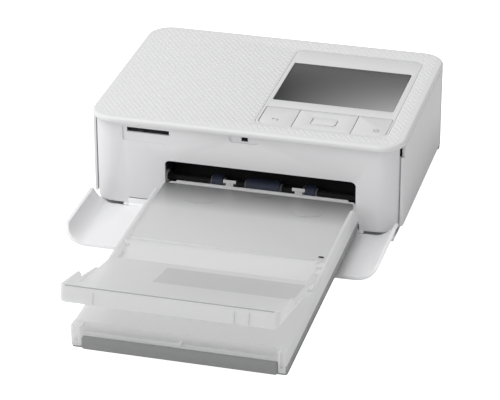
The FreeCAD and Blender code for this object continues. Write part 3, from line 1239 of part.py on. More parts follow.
def motor():
    y, z = (str(coordinate) for coordinate in gear_centres()["pinion"])
    face_x = "bracket_x - sheet"
    node("feed_motor", rod("motor", "x", y, z, (f"{face_x} - motor_length", face_x), "motor_radius"))
    plate = block("bracket", (face_x, "bracket_x"), ("bracket_front_y", "bracket_rear_y"),
                  ("pan_top_z", "bracket_top_z"))
    foot = block("bracket_foot", (face_x, "bracket_x + bracket_foot"), ("bracket_front_y", "bracket_rear_y"),
                 ("pan_top_z", "pan_top_z + sheet / 2"))
    hole = rod("bracket_hole", "x", y, z, ("-body_width", "body_width"), "2 * motor_shaft_radius")
    node("motor_bracket", cut("bracket_solid", join("bracket_bent", plate, foot), hole))


# Ribbon cassette and thermal head

def ribbon():
    inner = ("tub_left_x + tub_wall", "tub_right_x - tub_wall")
    tubes = []
    for y in ("takeup_y", "supply_y"):
        tube = rod("tub", "x", y, "spool_z", ("tub_left_x", "tub_right_x"), "tub_radius")
        hollow = rod("tub_hollow", "x", y, "spool_z", inner, "tub_radius - tub_wall")
        below = block("tub_below", ("-body_width", "body_width"),
                      (f"{y} - 2 * tub_radius", f"{y} + 2 * tub_radius"), ("0", "tub_cut_z"))
        tubes.append(cut("tub_open", tube, hollow, below))
    links = [block("tub_link", span, ("takeup_y", "supply_y"), ("tub_cut_z", "tub_link_high_z"))
             for span in (("tub_left_x", "tub_left_x + tub_wall"), ("tub_right_x - tub_wall", "tub_right_x"))]
    grip = block("tub_front", ("tub_right_x - tub_wall", "chassis_right_x"),
                 ("door_way_front_y + seam", "door_way_rear_y - seam"), ("door_way_low_z",
                                                                         "tub_front_high_z"))
    handle = block("tub_handle", ("chassis_right_x - overrun", "chassis_right_x + tub_handle_depth"),
                   ("platen_y - tub_handle_length / 2", "platen_y + tub_handle_length / 2"),
                   ("spool_z - tub_wall", "spool_z + tub_wall"))
    pegs = [rod("tub_peg", "x", f"platen_y + {side} * tub_radius", "spool_z",
                ("cheek_left_in_x - sheet / 2", "tub_left_x + tub_wall / 2"), "tub_wall")
            for side in ("-1", "1")]
    bores = [rod("journal_hole", "x", y, "spool_z", ("-body_width", "body_width"),
                 "spool_journal_radius + fit_gap") for y in ("takeup_y", "supply_y")]
    shell = join("tub_pair", *tubes, *links, grip, handle, *pegs)
    node("ribbon_cassette_shell", cut("ribbon_shell", shell, *bores))
    for label, y, radius in (("takeup_spool", "takeup_y", "takeup_radius"),
                             ("supply_spool", "supply_y", "supply_radius")):
        core = rod("core", "x", y, "spool_z",
                   ("tub_left_x + tub_wall + seam", "tub_right_x - tub_wall - seam"), "spool_core_radius")
        journal = rod("journal", "x", y, "spool_z", ("tub_left_x", "tub_right_x"), "spool_journal_radius")
        roll = rod("roll", "x", y, "spool_z", ("film_left_x", "film_right_x"), radius)
        node(label, join(f"{label}_solid", core, journal, roll))
    lower = [
        ("supply_y", "spool_z - supply_radius - seam - film_thickness"), ("platen_y + film_half", "film_z"),
        ("platen_y - film_half", "film_z"), ("takeup_y", "spool_z - takeup_radius - seam - film_thickness"),
    ]
    upper = [(y, f"{z} + film_thickness") for y, z in reversed(lower)]
    node("ribbon_film", prism("film", "YZ", lower + upper, ("film_left_x", "film_right_x")))


def thermal_head():
    depth = ("platen_y - head_depth / 2", "platen_y + head_depth / 2")
    across = ("film_left_x", "film_right_x")
    sink_low = "head_z + head_height"
    node("thermal_head", block("head", across, depth, ("head_z", sink_low)))
    sink = block("sink", across, depth, (sink_low, "sink_top_z"))
    fins = []
    count = int(value("(film_right_x - film_left_x) / sink_fin_step")) - 1
    for number in range(count):
        low = f"film_left_x + {number} * sink_fin_step + sink_fin_gap"
        fins.append(block("fin_gap", (low, f"{low} + sink_fin_gap"),
                          ("platen_y - head_depth", "platen_y + head_depth"),
                          (f"{sink_low} + sink_floor", "sink_top_z - sheet")))
    node("heat_sink", cut("sink_solid", sink, *fins))
    plate = block("arm_plate", ("roller_left_x", "roller_right_x + wall"), ("arm_front_y", "arm_rear_y"),
                  ("sink_top_z", "sink_top_z + sheet"))
    ears = [block("arm_ear", span, ("2 * arm_axis_y - arm_rear_y", "arm_rear_y"),
                  ("arm_low_z", "sink_top_z + sheet / 2"))
            for span in (("roller_left_x", "roller_left_x + sheet"),
                         ("roller_right_x + wall - sheet", "roller_right_x + wall"))]
    bore = rod("arm_bore", "x", "arm_axis_y", "arm_axis_z", ("-body_width", "body_width"),
               "arm_pin_radius + fit_gap")
    node("head_bracket", cut("arm_solid", join("arm_bent", plate, *ears), bore))


def paper_guides():
    across = ("guide_left_x", "guide_right_x")
    points = [
        ("guide_foot_y", "chassis_top_z"), ("guide_foot_y + guide_wall", "chassis_top_z"),
        ("guide_bend_y + guide_wall / 2", "guide_top_z - guide_wall"),
        ("guide_end_y", "guide_top_z - guide_wall"), ("guide_end_y", "guide_top_z"), ("guide_bend_y",
                                                                                      "guide_top_z"),
    ]
    foot = block("guide_foot", across, ("guide_foot_y", "chassis_front_y + 2 * guide_wall"),
                 ("chassis_top_z", "chassis_top_z + guide_wall"))
    node("feed_guide", join("feed_guide_solid", prism("feed_guide", "YZ", points, across), foot))
    shelf = block("rear_shelf", across, ("rear_guide_y", "rear_in_y - seam"),
                  ("rear_guide_z - guide_wall", "rear_guide_z"))
    leg = block("rear_leg", across, ("rear_guide_y", "rear_guide_y + guide_wall"),
                ("chassis_top_z", "rear_guide_z"))
    node("rear_guide", join("rear_guide_solid", shelf, leg))


# Paper cassette

def cassette_base():
    height = ("tray_low_z", "tray_floor_z")
    wide = slab("tray_floor", "XY", ("tray_left_x", "tray_right_x"),
                ("tray_front_y + bar_depth / 2", "tray_neck_y"), height, "tray_wall")
    neck = block("tray_neck", ("neck_left_x", "neck_right_x"), ("tray_neck_y - tray_wall", "tray_rear_y"),
                 height)
    bar = slab("front_bar", "XZ", ("bar_left_x", "bar_right_x"), ("tray_low_z", "bar_top_z"),
               ("tray_front_y", "tray_front_y + bar_depth"), "bar_depth / 2")
    tail = block("tray_tail", ("neck_left_x", "neck_right_x"), ("tray_rear_y - tray_wall", "tray_rear_y"),
                 ("tray_low_z", "tail_top_z"))
    node("cassette_base", join("cassette_base_solid", wide, neck, bar, tail))


def case_side(name, low, high):
    """One long side wall of the cassette's case, seen from the side."""
    points = [
        ("tray_front_y + bar_depth", "tray_floor_z"), ("tray_neck_y + tray_wall / 2", "tray_floor_z"),
        ("tray_neck_y + tray_wall / 2", "side_rear_z"), ("rim_rear_y", "rim_top_z"), ("rim_front_y",
                                                                                      "rim_top_z"),
        ("rim_front_y - rim_ramp", "deck_top_z"), ("tray_front_y + bar_depth", "deck_top_z"),
    ]
    return prism(name, "YZ", points, (low, high))


def case_front():
    """The wall, groove and corner blocks at the cassette's front."""
    wall_span = ("tray_front_y + bar_depth", "tray_front_y + bar_depth + tray_wall")
    parts = [
        block("case_front", ("tray_in_left_x", "tray_in_right_x"), wall_span,
              ("tray_floor_z", "front_lip_z")),
        block("case_groove", ("tray_in_left_x", "tray_in_right_x"), (wall_span[0], "groove_rear_y"),
              ("groove_z - deck_wall", "groove_z")),
        block("case_groove_back", ("tray_in_left_x", "tray_in_right_x"),
              ("groove_rear_y - deck_wall", "groove_rear_y"), ("groove_z - deck_wall", "deck_top_z")),
    ]
    for low, high in (("tray_left_x", "bar_left_x - seam"), ("bar_right_x + seam", "tray_right_x")):
        corner = slab("case_corner", "XY", (low, high), ("tray_front_y", "tray_front_y + corner_depth"),
                      ("tray_floor_z", "corner_top_z"), "bar_depth / 2")
        middle = f"({low} + {high}) / 2"
        slot = block("corner_slot", (f"{middle} - corner_slot / 2", f"{middle} + corner_slot / 2"),
                     ("tray_front_y - overrun", "tray_front_y + corner_slot"),
                     ("tray_floor_z + corner_slot", "corner_top_z + overrun"))
        parts.append(cut("case_corner_cut", corner, slot))
    return parts


def case_hooks():
    """The bridge over the rear end and its two upright hooks."""
    low = "shelf_top_z - bridge_height"
    parts = [prism("bridge", "XZ", [
        ("tray_in_left_x", f"{low} - bridge_corner"), ("bridge_left_x", low), ("bridge_right_x", low),
        ("tray_in_right_x", f"{low} - bridge_corner"), ("tray_in_right_x", low),
        ("bridge_right_x + bridge_shoulder", "shelf_top_z - bridge_rise"),
        ("bridge_right_x + bridge_rise", "shelf_top_z - bridge_rise"),
        ("bridge_right_x", "shelf_top_z + bridge_rise"), ("bridge_left_x", "shelf_top_z + bridge_rise"),
        ("bridge_left_x - bridge_rise", "shelf_top_z - bridge_rise"),
        ("bridge_left_x - bridge_shoulder", "shelf_top_z - bridge_rise"), ("tray_in_left_x", low),
    ], ("bridge_front_y", "bridge_rear_y"))]
    for span in (("tray_in_left_x", "tray_in_left_x + tray_wall"),
                 ("tray_in_right_x - tray_wall", "tray_in_right_x")):
        parts.append(block("bridge_cheek", span, ("rim_rear_y", "bridge_rear_y"),
                           ("tray_floor_z", f"{low} - bridge_corner + bridge_rise")))
    depth = ("bridge_rear_y - hook_thickness", "bridge_rear_y")
    for x in ("hook_left_x", "hook_right_x"):
        parts.append(block("hook_stem", (f"{x} - hook_stem / 2", f"{x} + hook_stem / 2"), depth,
                           ("shelf_top_z - bridge_height / 2", "hook_top_z")))
        parts.append(block("hook_bar", (f"{x} - hook_bar / 2", f"{x} + hook_bar / 2"), depth,
                           ("hook_top_z - hook_bar_height", "hook_top_z")))
    return parts


def cassette_case():
    across = ("tray_in_left_x", "tray_in_right_x")
    parts = [
        case_side("case_left", "tray_left_x", "tray_in_left_x"),
        case_side("case_right", "tray_in_right_x", "tray_right_x"),
        block("case_deck", across, ("groove_rear_y - deck_wall", "shelf_front_y"),
              ("deck_top_z - deck_wall", "deck_top_z")),
        block("case_step", across, ("shelf_front_y", "shelf_front_y + deck_wall"),
              ("deck_top_z - deck_wall", "shelf_top_z")),
        block("case_shelf", across, ("shelf_front_y", "shelf_rear_y"),
              ("shelf_top_z - deck_wall", "shelf_top_z")),
        block("case_clip", ("clip_x - clip_size / 2", "clip_x + clip_size / 2"),
              ("shelf_rear_y - clip_size", "shelf_rear_y"), ("shelf_top_z - deck_wall",
                                                             "shelf_top_z + clip_height")),
        block("case_rib", ("rib_x - rib_width / 2", "rib_x + rib_width / 2"),
              ("tray_front_y + bar_depth + tray_wall / 2", "groove_rear_y - deck_wall / 2"),
              ("groove_z - deck_wall / 2", "rib_top_z")),
    ]
    for low, high in (("neck_left_x", "neck_left_x + tray_wall"),
                      ("neck_right_x - tray_wall", "neck_right_x")):
        parts.append(block("case_neck", (low, high), ("tray_neck_y - tray_wall", "tray_rear_y - tray_wall"),
                           ("tray_floor_z", "neck_top_z")))
    for low, high in (("tray_left_x", "neck_left_x + tray_wall"),
                      ("neck_right_x - tray_wall", "tray_right_x")):
        parts.append(block("case_shoulder", (low, high), ("tray_neck_y - tray_wall", "tray_neck_y"),
                           ("tray_floor_z", "neck_top_z")))
    parts += case_front() + case_hooks()
    pins = []
    for low, high in (("tray_left_x + tray_wall / 2", "tray_in_left_x + lid_gap + lid_arm_width"),
                      ("tray_in_right_x - lid_gap - lid_arm_width", "tray_right_x - tray_wall / 2")):
        pins.append(rod("lid_pin", "x", "lid_axis_y", "lid_axis_z", (low, high), "lid_pin_radius"))
    bores = [rod("plate_bore", "x", "plate_axis_y", "plate_axis_z",
                 ("tray_left_x - overrun", "tray_right_x + overrun"), "plate_pin_radius + fit_gap")]
    relief = lid_relief()
    body = cut("case_cut", join("case_parts", *parts), *bores, *relief)
    node("cassette_case", join("case_solid", body, *pins))


def lid_relief():
    """Room beside the walls for the outer cover's hinge arms."""
    spans = (("tray_in_left_x", "tray_in_left_x + 2 * lid_gap + lid_arm_width"),
             ("tray_in_right_x - 2 * lid_gap - lid_arm_width", "tray_in_right_x"))
    return [block("lid_relief", span, ("shelf_front_y - overrun", "lid_axis_y + lid_plate_start + lid_gap"),
                  ("lid_axis_z - lid_arm_radius - lid_gap", "rim_top_z + overrun")) for span in spans]


def cassette_loose_parts():
    node("paper_stack", block("paper", ("paper_left_x", "paper_left_x + paper_width"),
                              ("tray_rear_y - tray_wall - paper_gap - paper_length",
                               "tray_rear_y - tray_wall - paper_gap"),
                              ("tray_floor_z", "tray_floor_z + paper_height")))
    plate = slab("inner_plate", "XY", ("tray_in_left_x + plate_gap", "tray_in_right_x - plate_gap"),
                 ("plate_axis_y", "bridge_front_y - plate_gap"), ("shelf_top_z - plate_wall", "shelf_top_z"),
                 "plate_round")
    barrel = rod("plate_barrel", "x", "plate_axis_y", "plate_axis_z",
                 ("tray_in_left_x + plate_gap", "tray_in_right_x - plate_gap"), "plate_pin_radius")
    pins = rod("plate_pins", "x", "plate_axis_y", "plate_axis_z",
               ("tray_left_x + plate_gap", "tray_right_x - plate_gap"), "plate_pin_radius")
    node("cassette_inner_cover", join("inner_cover_solid", plate, barrel, pins))


def outer_cover():
    """The outer cover, drawn flat from its hinge towards the front, then tilted open."""
    length = "lid_length"
    low = "lid_axis_up - lid_wall"
    top = "lid_axis_up"
    across = ("tray_left_x", "tray_right_x")
    ear_top = f"{top} + lid_lip - lid_wall - lid_ear_drop"
    tray = [
        block("lid_plate", across, (f"-{length}", "-lid_side_start"), (low, top)),
        block("lid_lip", across, (f"-{length}", f"-{length} + lid_wall"),
              (low, f"{top} + lid_lip - lid_wall")),
    ]
    for side_low, side_high in (("tray_left_x", "tray_left_x + lid_wall"),
                                ("tray_right_x - lid_wall", "tray_right_x")):
        tray.append(prism("lid_side", "YZ", [
            (f"-{length} + lid_wall / 2", low), ("-lid_side_start", low), ("-lid_side_start", top),
            (f"-{length} + lid_return", f"{top} + lid_side - lid_wall"),
            (f"-{length} + lid_return", f"{ear_top} - lid_ear_round"),
            (f"-{length} + lid_return - lid_ear_round", ear_top),
            (f"-{length} + lid_wall / 2", f"{top} + lid_lip - lid_wall"),
        ], (side_low, side_high)))
    outline = slab("lid_outline", "XY", across, (f"-{length}", length),
                   (f"{low} - overrun", f"{top} + lid_lip"),
                   "lid_corner")
    section = slab("lid_section", "XZ", across, (low, f"{top} + 2 * lid_lip"), (f"-{length} - overrun", "0"),
                   "lid_corner")
    inner = ("tray_in_left_x + lid_gap", "tray_in_right_x - lid_gap")
    throat = block("lid_throat", inner, ("-lid_side_start - lid_wall", "-lid_plate_start"), (low, top))
    parts = [common("lid_tray", common("lid_outlined", join("lid_walls", *tray), outline), section), throat]
    for arm_low, arm_high in (("tray_in_left_x + lid_gap", "tray_in_left_x + lid_gap + lid_arm_width"),
                              ("tray_in_right_x - lid_gap - lid_arm_width", "tray_in_right_x - lid_gap")):
        parts.append(rod("lid_eye", "x", "0", "0", (arm_low, arm_high), "lid_arm_radius"))
        parts.append(prism("lid_arm", "YZ", [
            ("0", "-lid_arm_radius"), ("0", "lid_arm_radius"), ("-lid_plate_start", top),
            ("-2 * lid_plate_start", top), ("-2 * lid_plate_start", low), ("-lid_plate_start", low),
        ], (arm_low, arm_high)))
    bore = rod("lid_bore", "x", "0", "0", ("-body_width", "body_width"), "lid_pin_radius + fit_gap")
    cover = cut("outer_cover_solid", join("lid_parts", *parts), bore)
    cover.Placement = FreeCAD.Placement(FreeCAD.Vector(), FreeCAD.Rotation(FreeCAD.Vector(1, 0, 0), 1))
    bind(cover, "Placement.Base.y", "lid_axis_y")
    bind(cover, "Placement.Base.z", "lid_axis_z")
    bind(cover, "Placement.Rotation.Angle", "-lid_tilt")
    node("cassette_outer_cover", cover)


def check_and_write():
    """Stops on any failed object or bad solid, then writes one file for each sub-part."""
    doc.recompute()
    faults = [item.Name for item in doc.Objects if {"Invalid", "Error"} & set(item.State)]
    if faults:
        raise RuntimeError(f"failed objects: {faults}")
    for item in NODES:
        shape = item.Shape
        if shape.isNull() or not shape.isValid() or not shape.Solids:
            raise RuntimeError(f"bad shape: {item.Label}")
    os.makedirs("parts", exist_ok=True)
    for item in NODES:
        item.Shape.exportStep(f"parts/{item.Label}.step")
        box = item.Shape.BoundBox
        print(f"{item.Label}: {len(item.Shape.Solids)} solids, x {box.XMin:.1f}..{box.XMax:.1f} "
              f"y {box.YMin:.1f}..{box.YMax:.1f} z {box.ZMin:.1f}..{box.ZMax:.1f}")
    print(f"{len(NODES)} nodes")


def main():
    fill_sheet()
    for step in (
        top_cover, front_shell, left_panel, rear_shell, terminal_cover, base_pan, front_door, side_cover,
        control_panel, keys, chassis, boards, pickup_roller,
    ):
        step()
    rubber_roller("platen", "platen_y", "platen_z", "platen_radius", "platen_shaft_radius")
    rubber_roller("grip", "grip_y", "grip_z", "grip_radius", "grip_shaft_radius")
    for step in (
        pinch_roller, gears, motor, ribbon, thermal_head, paper_guides, cassette_base, cassette_case,
        cassette_loose_parts, outer_cover,
    ):
        step()
    check_and_write()


main()
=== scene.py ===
import json
import math

import bmesh
import bpy
from bpy.props import BoolProperty, FloatProperty, FloatVectorProperty, IntProperty, PointerProperty
from mathutils import Matrix, Vector

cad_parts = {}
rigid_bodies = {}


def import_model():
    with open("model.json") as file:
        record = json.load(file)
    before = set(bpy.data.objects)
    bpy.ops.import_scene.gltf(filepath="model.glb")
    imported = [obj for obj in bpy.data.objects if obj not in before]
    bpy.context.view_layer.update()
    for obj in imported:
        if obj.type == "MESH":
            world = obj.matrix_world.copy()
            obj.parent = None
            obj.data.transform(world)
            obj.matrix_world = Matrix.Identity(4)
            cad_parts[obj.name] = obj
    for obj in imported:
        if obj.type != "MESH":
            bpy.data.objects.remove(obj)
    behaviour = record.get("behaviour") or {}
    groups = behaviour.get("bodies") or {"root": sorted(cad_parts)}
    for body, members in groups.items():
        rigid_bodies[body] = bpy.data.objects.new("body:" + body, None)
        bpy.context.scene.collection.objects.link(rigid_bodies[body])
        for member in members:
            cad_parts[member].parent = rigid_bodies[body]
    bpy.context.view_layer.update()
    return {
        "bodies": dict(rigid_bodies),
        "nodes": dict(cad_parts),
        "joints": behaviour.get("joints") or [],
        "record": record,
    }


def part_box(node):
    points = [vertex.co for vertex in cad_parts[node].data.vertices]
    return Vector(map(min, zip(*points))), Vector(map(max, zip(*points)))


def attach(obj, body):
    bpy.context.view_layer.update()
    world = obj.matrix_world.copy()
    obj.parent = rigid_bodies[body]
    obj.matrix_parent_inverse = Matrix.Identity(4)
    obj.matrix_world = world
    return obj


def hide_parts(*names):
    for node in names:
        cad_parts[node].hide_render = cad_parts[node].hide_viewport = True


bl_info = {
    "name": "Photo printer scene",
    "version": (1, 0, 0),
    "blender": (4, 5, 0),
    "location": "3D View > Sidebar > Printer",
    "description": "Dresses the packed photo printer and sets the stage for its picture",
    "category": "Object",
}

frame = {}
PAINTS = {}


def colour_field(label, default, note):
    """A colour setting, in linear values."""
    return FloatVectorProperty(name=label, description=note, default=default, size=3, subtype="COLOR",
                               min=0.0, max=1.0)


def length_field(label, default, note):
    """A length setting, in metres."""
    return FloatProperty(name=label, description=note, default=default, unit="LENGTH", subtype="DISTANCE")


class PrinterColours(bpy.types.PropertyGroup):
    """Base colours of the visible plastics."""
    top: colour_field("Top", (0.78, 0.78, 0.785), "Top cover")
    housing: colour_field("Housing", (0.76, 0.76, 0.77), "Front, side and rear walls")
    # The door's white is lighter than the housing's white to make up for light the door lacks: painted light
    door: colour_field("Door", (0.87, 0.87, 0.88), "Front door")
    panel: colour_field("Panel", (0.745, 0.745, 0.75), "Control panel plate")
    keys: colour_field("Keys", (0.755, 0.755, 0.76), "Keys")
    symbols: colour_field("Symbols", (0.30, 0.31, 0.32), "Symbols on the keys")
    # Ends of the display's painted reflection, a colour gradient in place of reflected light
    screen_reflection_dim: colour_field("Screen, dark end", (0.028, 0.028, 0.030), "Display at its rear left")
    screen_reflection_bright: colour_field("Screen, light end", (0.38, 0.38, 0.385), "Display at its front right")
    cassette: colour_field("Cassette", (0.84, 0.84, 0.845), "Translucent cassette")
    cover: colour_field("Inner cover", (0.69, 0.69, 0.695), "Inner cover's front end")
    # Painted shade on the inner cover's rear end, over the dark opening
    shade: colour_field("Cassette, shaded", (0.17, 0.17, 0.175), "Inner cover's rear end over the opening")
    # Painted shade: the shaded step under the outer cover, seen through it, painted as a band on the cover
    band: colour_field("Cassette, band", (0.71, 0.71, 0.715), "Darker band seen through the outer cover")
    cassette_light: colour_field("Cassette floor", (0.80, 0.80, 0.805), "Upper side of the cassette base")
    cassette_base: colour_field("Cassette base", (0.245, 0.247, 0.25), "Grey cassette base")
    inner: colour_field("Inside", (0.006, 0.006, 0.007), "Dark inner parts")
    roller: colour_field("Roller", (0.017, 0.023, 0.048), "Rubber rollers")


class PrinterEdges(bpy.types.PropertyGroup):
    """Rounding of moulded edges."""
    housing: length_field("Housing edges", 0.00035, "Rounding of the housing's edges")
    door: length_field("Door edges", 0.00035, "Rounding of the door's edges")
    keys: length_field("Key edges", 0.00025, "Rounding of the keys' edges")
    cassette: length_field("Cassette edges", 0.0004, "Rounding of the cassette's edges")
    steps: IntProperty(name="Steps", description="Segments across a rounded edge", default=2, min=1, max=6)


class PrinterBumps(bpy.types.PropertyGroup):
    """The field of small bumps on the top cover."""
    across: length_field("Spacing across", 0.0034, "Distance between bumps in a row")
    along: length_field("Spacing along", 0.0046, "Distance between every second row")
    size: length_field("Bump size", 0.00118, "Half of a bump's width")
    height: length_field("Bump height", 0.00028, "Height above the top cover")
    margin: length_field("Margin", 0.0032, "Plain border inside the rim")
    panel_margin: length_field("Panel margin", 0.0014, "Plain border round the control panel")


class PrinterStage(bpy.types.PropertyGroup):
    """Light and floor."""
    sky: FloatProperty(name="Sky", description="Strength of the surrounding light", default=0.55, min=0.0)
    key_power: FloatProperty(name="Key light", description="Power of the main light",
                             default=9.8, unit="POWER")
    fill_power: FloatProperty(name="Fill light", description="Power of the front light",
                              default=3.6, unit="POWER")
    white_floor: BoolProperty(name="White floor", description="The floor stays white for the camera",
                              default=True)


def settings():
    return bpy.context.scene.printer_colours, bpy.context.scene.printer_edges


# Shader helpers

GRAIN_SIZE = 0.0004
GRAIN_DEPTH = 0.0001
GRAIN_TONE = (0.985, 1.0)
TONE_SCALE = 35.0
BRUSH_STRETCH = (60.0, 4000.0, 4000.0)
BRUSH_ROUGHNESS = (0.26, 0.48)
BRUSH_STRENGTH = 0.08
BRUSH_DEPTH = 0.00005
COAT_ROUGHNESS = 0.1


def new_group(name, sockets):
    """A shader node group with the sockets given as (name, direction, type)."""
    group = bpy.data.node_groups.new(name, "ShaderNodeTree")
    for label, direction, kind in sockets:
        group.interface.new_socket(name=label, in_out=direction, socket_type=kind)
    return group, group.nodes.new("NodeGroupInput"), group.nodes.new("NodeGroupOutput")


def add(tree, kind, **values):
    """A node with its properties or its inputs set by name."""
    item = tree.nodes.new(kind)
    for name, value in values.items():
        if name in item.bl_rna.properties:
            setattr(item, name, value)
        else:
            item.inputs[name.replace("_", " ")].default_value = value
    return item


def grain_group():
    """Fine moulded grain: a height and a slow change of tone."""
    group, source, result = new_group("Moulded grain", [
        ("Size", "INPUT", "NodeSocketFloat"),
        ("Height", "OUTPUT", "NodeSocketFloat"),
        ("Tone", "OUTPUT", "NodeSocketFloat"),
    ])
    place = add(group, "ShaderNodeTexCoord")
    count = add(group, "ShaderNodeMath", operation="DIVIDE")
    count.inputs[0].default_value = 1.0
    fine = add(group, "ShaderNodeTexNoise", Detail=2.0, Roughness=0.6)
    slow = add(group, "ShaderNodeTexNoise", Scale=TONE_SCALE, Detail=1.0)
    tone = add(group, "ShaderNodeMapRange")
    tone.inputs["To Min"].default_value = GRAIN_TONE[0]
    tone.inputs["To Max"].default_value = GRAIN_TONE[1]
    link = group.links.new
    link(source.outputs["Size"], count.inputs[1])
    link(count.outputs[0], fine.inputs["Scale"])
    link(place.outputs["Object"], fine.inputs["Vector"])
    link(place.outputs["Object"], slow.inputs["Vector"])
    link(slow.outputs[0], tone.inputs["Value"])
    link(fine.outputs[0], result.inputs["Height"])
    link(tone.outputs[0], result.inputs["Tone"])
    return group


def brushed_group():
    """Fine lines along X, as on drawn or turned metal."""
    group, source, result = new_group("Brushed lines", [
        ("Lines", "INPUT", "NodeSocketFloat"),
        ("Roughness", "OUTPUT", "NodeSocketFloat"),
        ("Height", "OUTPUT", "NodeSocketFloat"),
    ])
    place = add(group, "ShaderNodeTexCoord")
    stretch = add(group, "ShaderNodeMapping")
    stretch.inputs["Scale"].default_value = BRUSH_STRETCH
    noise = add(group, "ShaderNodeTexNoise", Scale=1.0, Detail=2.0)
    rough = add(group, "ShaderNodeMapRange")
    rough.inputs["To Min"].default_value = BRUSH_ROUGHNESS[0]
    rough.inputs["To Max"].default_value = BRUSH_ROUGHNESS[1]
    height = add(group, "ShaderNodeMath", operation="MULTIPLY")
    link = group.links.new
    link(place.outputs["Object"], stretch.inputs["Vector"])
    link(stretch.outputs[0], noise.inputs["Vector"])
    link(noise.outputs[0], rough.inputs["Value"])
    link(noise.outputs[0], height.inputs[0])
    link(source.outputs["Lines"], height.inputs[1])
    link(rough.outputs[0], result.inputs["Roughness"])
    link(height.outputs[0], result.inputs["Height"])
    return group


def painted_reflection_group():
    """A value that climbs from 0 to 1 across the display, from rear left to front right, where the painted
    reflection grows lighter.
    """
    group, _, result = new_group("Painted display reflection", [("Value", "OUTPUT", "NodeSocketFloat")])
    place = add(group, "ShaderNodeTexCoord")
    split = add(group, "ShaderNodeSeparateXYZ")
    across = add(group, "ShaderNodeMapRange")
    along = add(group, "ShaderNodeMapRange")
    left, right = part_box("display_window")
    for item, low, high in ((across, left[0], right[0]), (along, right[1], left[1])):
        item.inputs["From Min"].default_value = low
        item.inputs["From Max"].default_value = high
    both = add(group, "ShaderNodeMath", operation="MULTIPLY")
    link = group.links.new
    link(place.outputs["Object"], split.inputs[0])
    link(split.outputs[0], across.inputs["Value"])
    link(split.outputs[1], along.inputs["Value"])
    link(across.outputs[0], both.inputs[0])
    link(along.outputs[0], both.inputs[1])
    link(both.outputs[0], result.inputs["Value"])
    return group


def box_group():
    """A mask that is 1 inside a box and 0 outside it."""
    group, source, result = new_group("Inside box", [
        ("Low", "INPUT", "NodeSocketVector"),
        ("High", "INPUT", "NodeSocketVector"),
        ("Mask", "OUTPUT", "NodeSocketFloat"),
    ])
    place = add(group, "ShaderNodeTexCoord")
    above = add(group, "ShaderNodeVectorMath", operation="SUBTRACT")
    below = add(group, "ShaderNodeVectorMath", operation="SUBTRACT")
    nearest = add(group, "ShaderNodeVectorMath", operation="MINIMUM")
    split = add(group, "ShaderNodeSeparateXYZ")
    pair = add(group, "ShaderNodeMath", operation="MINIMUM")
    least = add(group, "ShaderNodeMath", operation="MINIMUM")
    mask = add(group, "ShaderNodeMath", operation="GREATER_THAN")
    mask.inputs[1].default_value = 0.0
    link = group.links.new
    link(place.outputs["Object"], above.inputs[0])
    link(source.outputs["Low"], above.inputs[1])
    link(source.outputs["High"], below.inputs[0])
    link(place.outputs["Object"], below.inputs[1])
    link(above.outputs[0], nearest.inputs[0])
    link(below.outputs[0], nearest.inputs[1])
    link(nearest.outputs[0], split.inputs[0])
    link(split.outputs[0], pair.inputs[0])
    link(split.outputs[1], pair.inputs[1])
    link(pair.outputs[0], least.inputs[0])
    link(split.outputs[2], least.inputs[1])
    link(least.outputs[0], mask.inputs[0])
    link(mask.outputs[0], result.inputs["Mask"])
    return group


def collar_group():
    """A mask that is 1 outside a radius round a line along X."""
    group, source, result = new_group("Outside radius", [
        ("Centre", "INPUT", "NodeSocketVector"),
        ("Radius", "INPUT", "NodeSocketFloat"),
        ("Mask", "OUTPUT", "NodeSocketFloat"),
    ])
    place = add(group, "ShaderNodeTexCoord")
    away = add(group, "ShaderNodeVectorMath", operation="SUBTRACT")
    flat = add(group, "ShaderNodeVectorMath", operation="MULTIPLY")
    flat.inputs[1].default_value = (0.0, 1.0, 1.0)
    length = add(group, "ShaderNodeVectorMath", operation="LENGTH")
    mask = add(group, "ShaderNodeMath", operation="GREATER_THAN")
    link = group.links.new
    link(place.outputs["Object"], away.inputs[0])
    link(source.outputs["Centre"], away.inputs[1])
    link(away.outputs[0], flat.inputs[0])
    link(flat.outputs[0], length.inputs[0])
    link(length.outputs["Value"], mask.inputs[0])
    link(source.outputs["Radius"], mask.inputs[1])
    link(mask.outputs[0], result.inputs["Mask"])
    return group


def ramp_group():
    """A value that climbs from 0 to 1 between two places along Y."""
    group, source, result = new_group("Ramp along Y", [
        ("Start", "INPUT", "NodeSocketFloat"),
        ("End", "INPUT", "NodeSocketFloat"),
        ("Value", "OUTPUT", "NodeSocketFloat"),
    ])
    place = add(group, "ShaderNodeTexCoord")
    split = add(group, "ShaderNodeSeparateXYZ")
    climb = add(group, "ShaderNodeMapRange")
    link = group.links.new
    link(place.outputs["Object"], split.inputs[0])
    link(split.outputs[1], climb.inputs["Value"])
    link(source.outputs["Start"], climb.inputs["From Min"])
    link(source.outputs["End"], climb.inputs["From Max"])
    link(climb.outputs[0], result.inputs["Value"])
    return group


def blend(tree, mask, first, second):
    """A colour between two, by a mask."""
    item = add(tree, "ShaderNodeMix", data_type="RGBA")
    item.inputs[6].default_value = (*first, 1.0)
    item.inputs[7].default_value = (*second, 1.0)
    tree.links.new(mask, item.inputs[0])
    return item.outputs[2]


def new_material(name):
    material = bpy.data.materials.new(name)
    material.use_nodes = True
    PAINTS[name] = material
    return material, material.node_tree, material.node_tree.nodes["Principled BSDF"]


def group_node(tree, name):
    item = tree.nodes.new("ShaderNodeGroup")
    item.node_tree = bpy.data.node_groups[name]
    return item


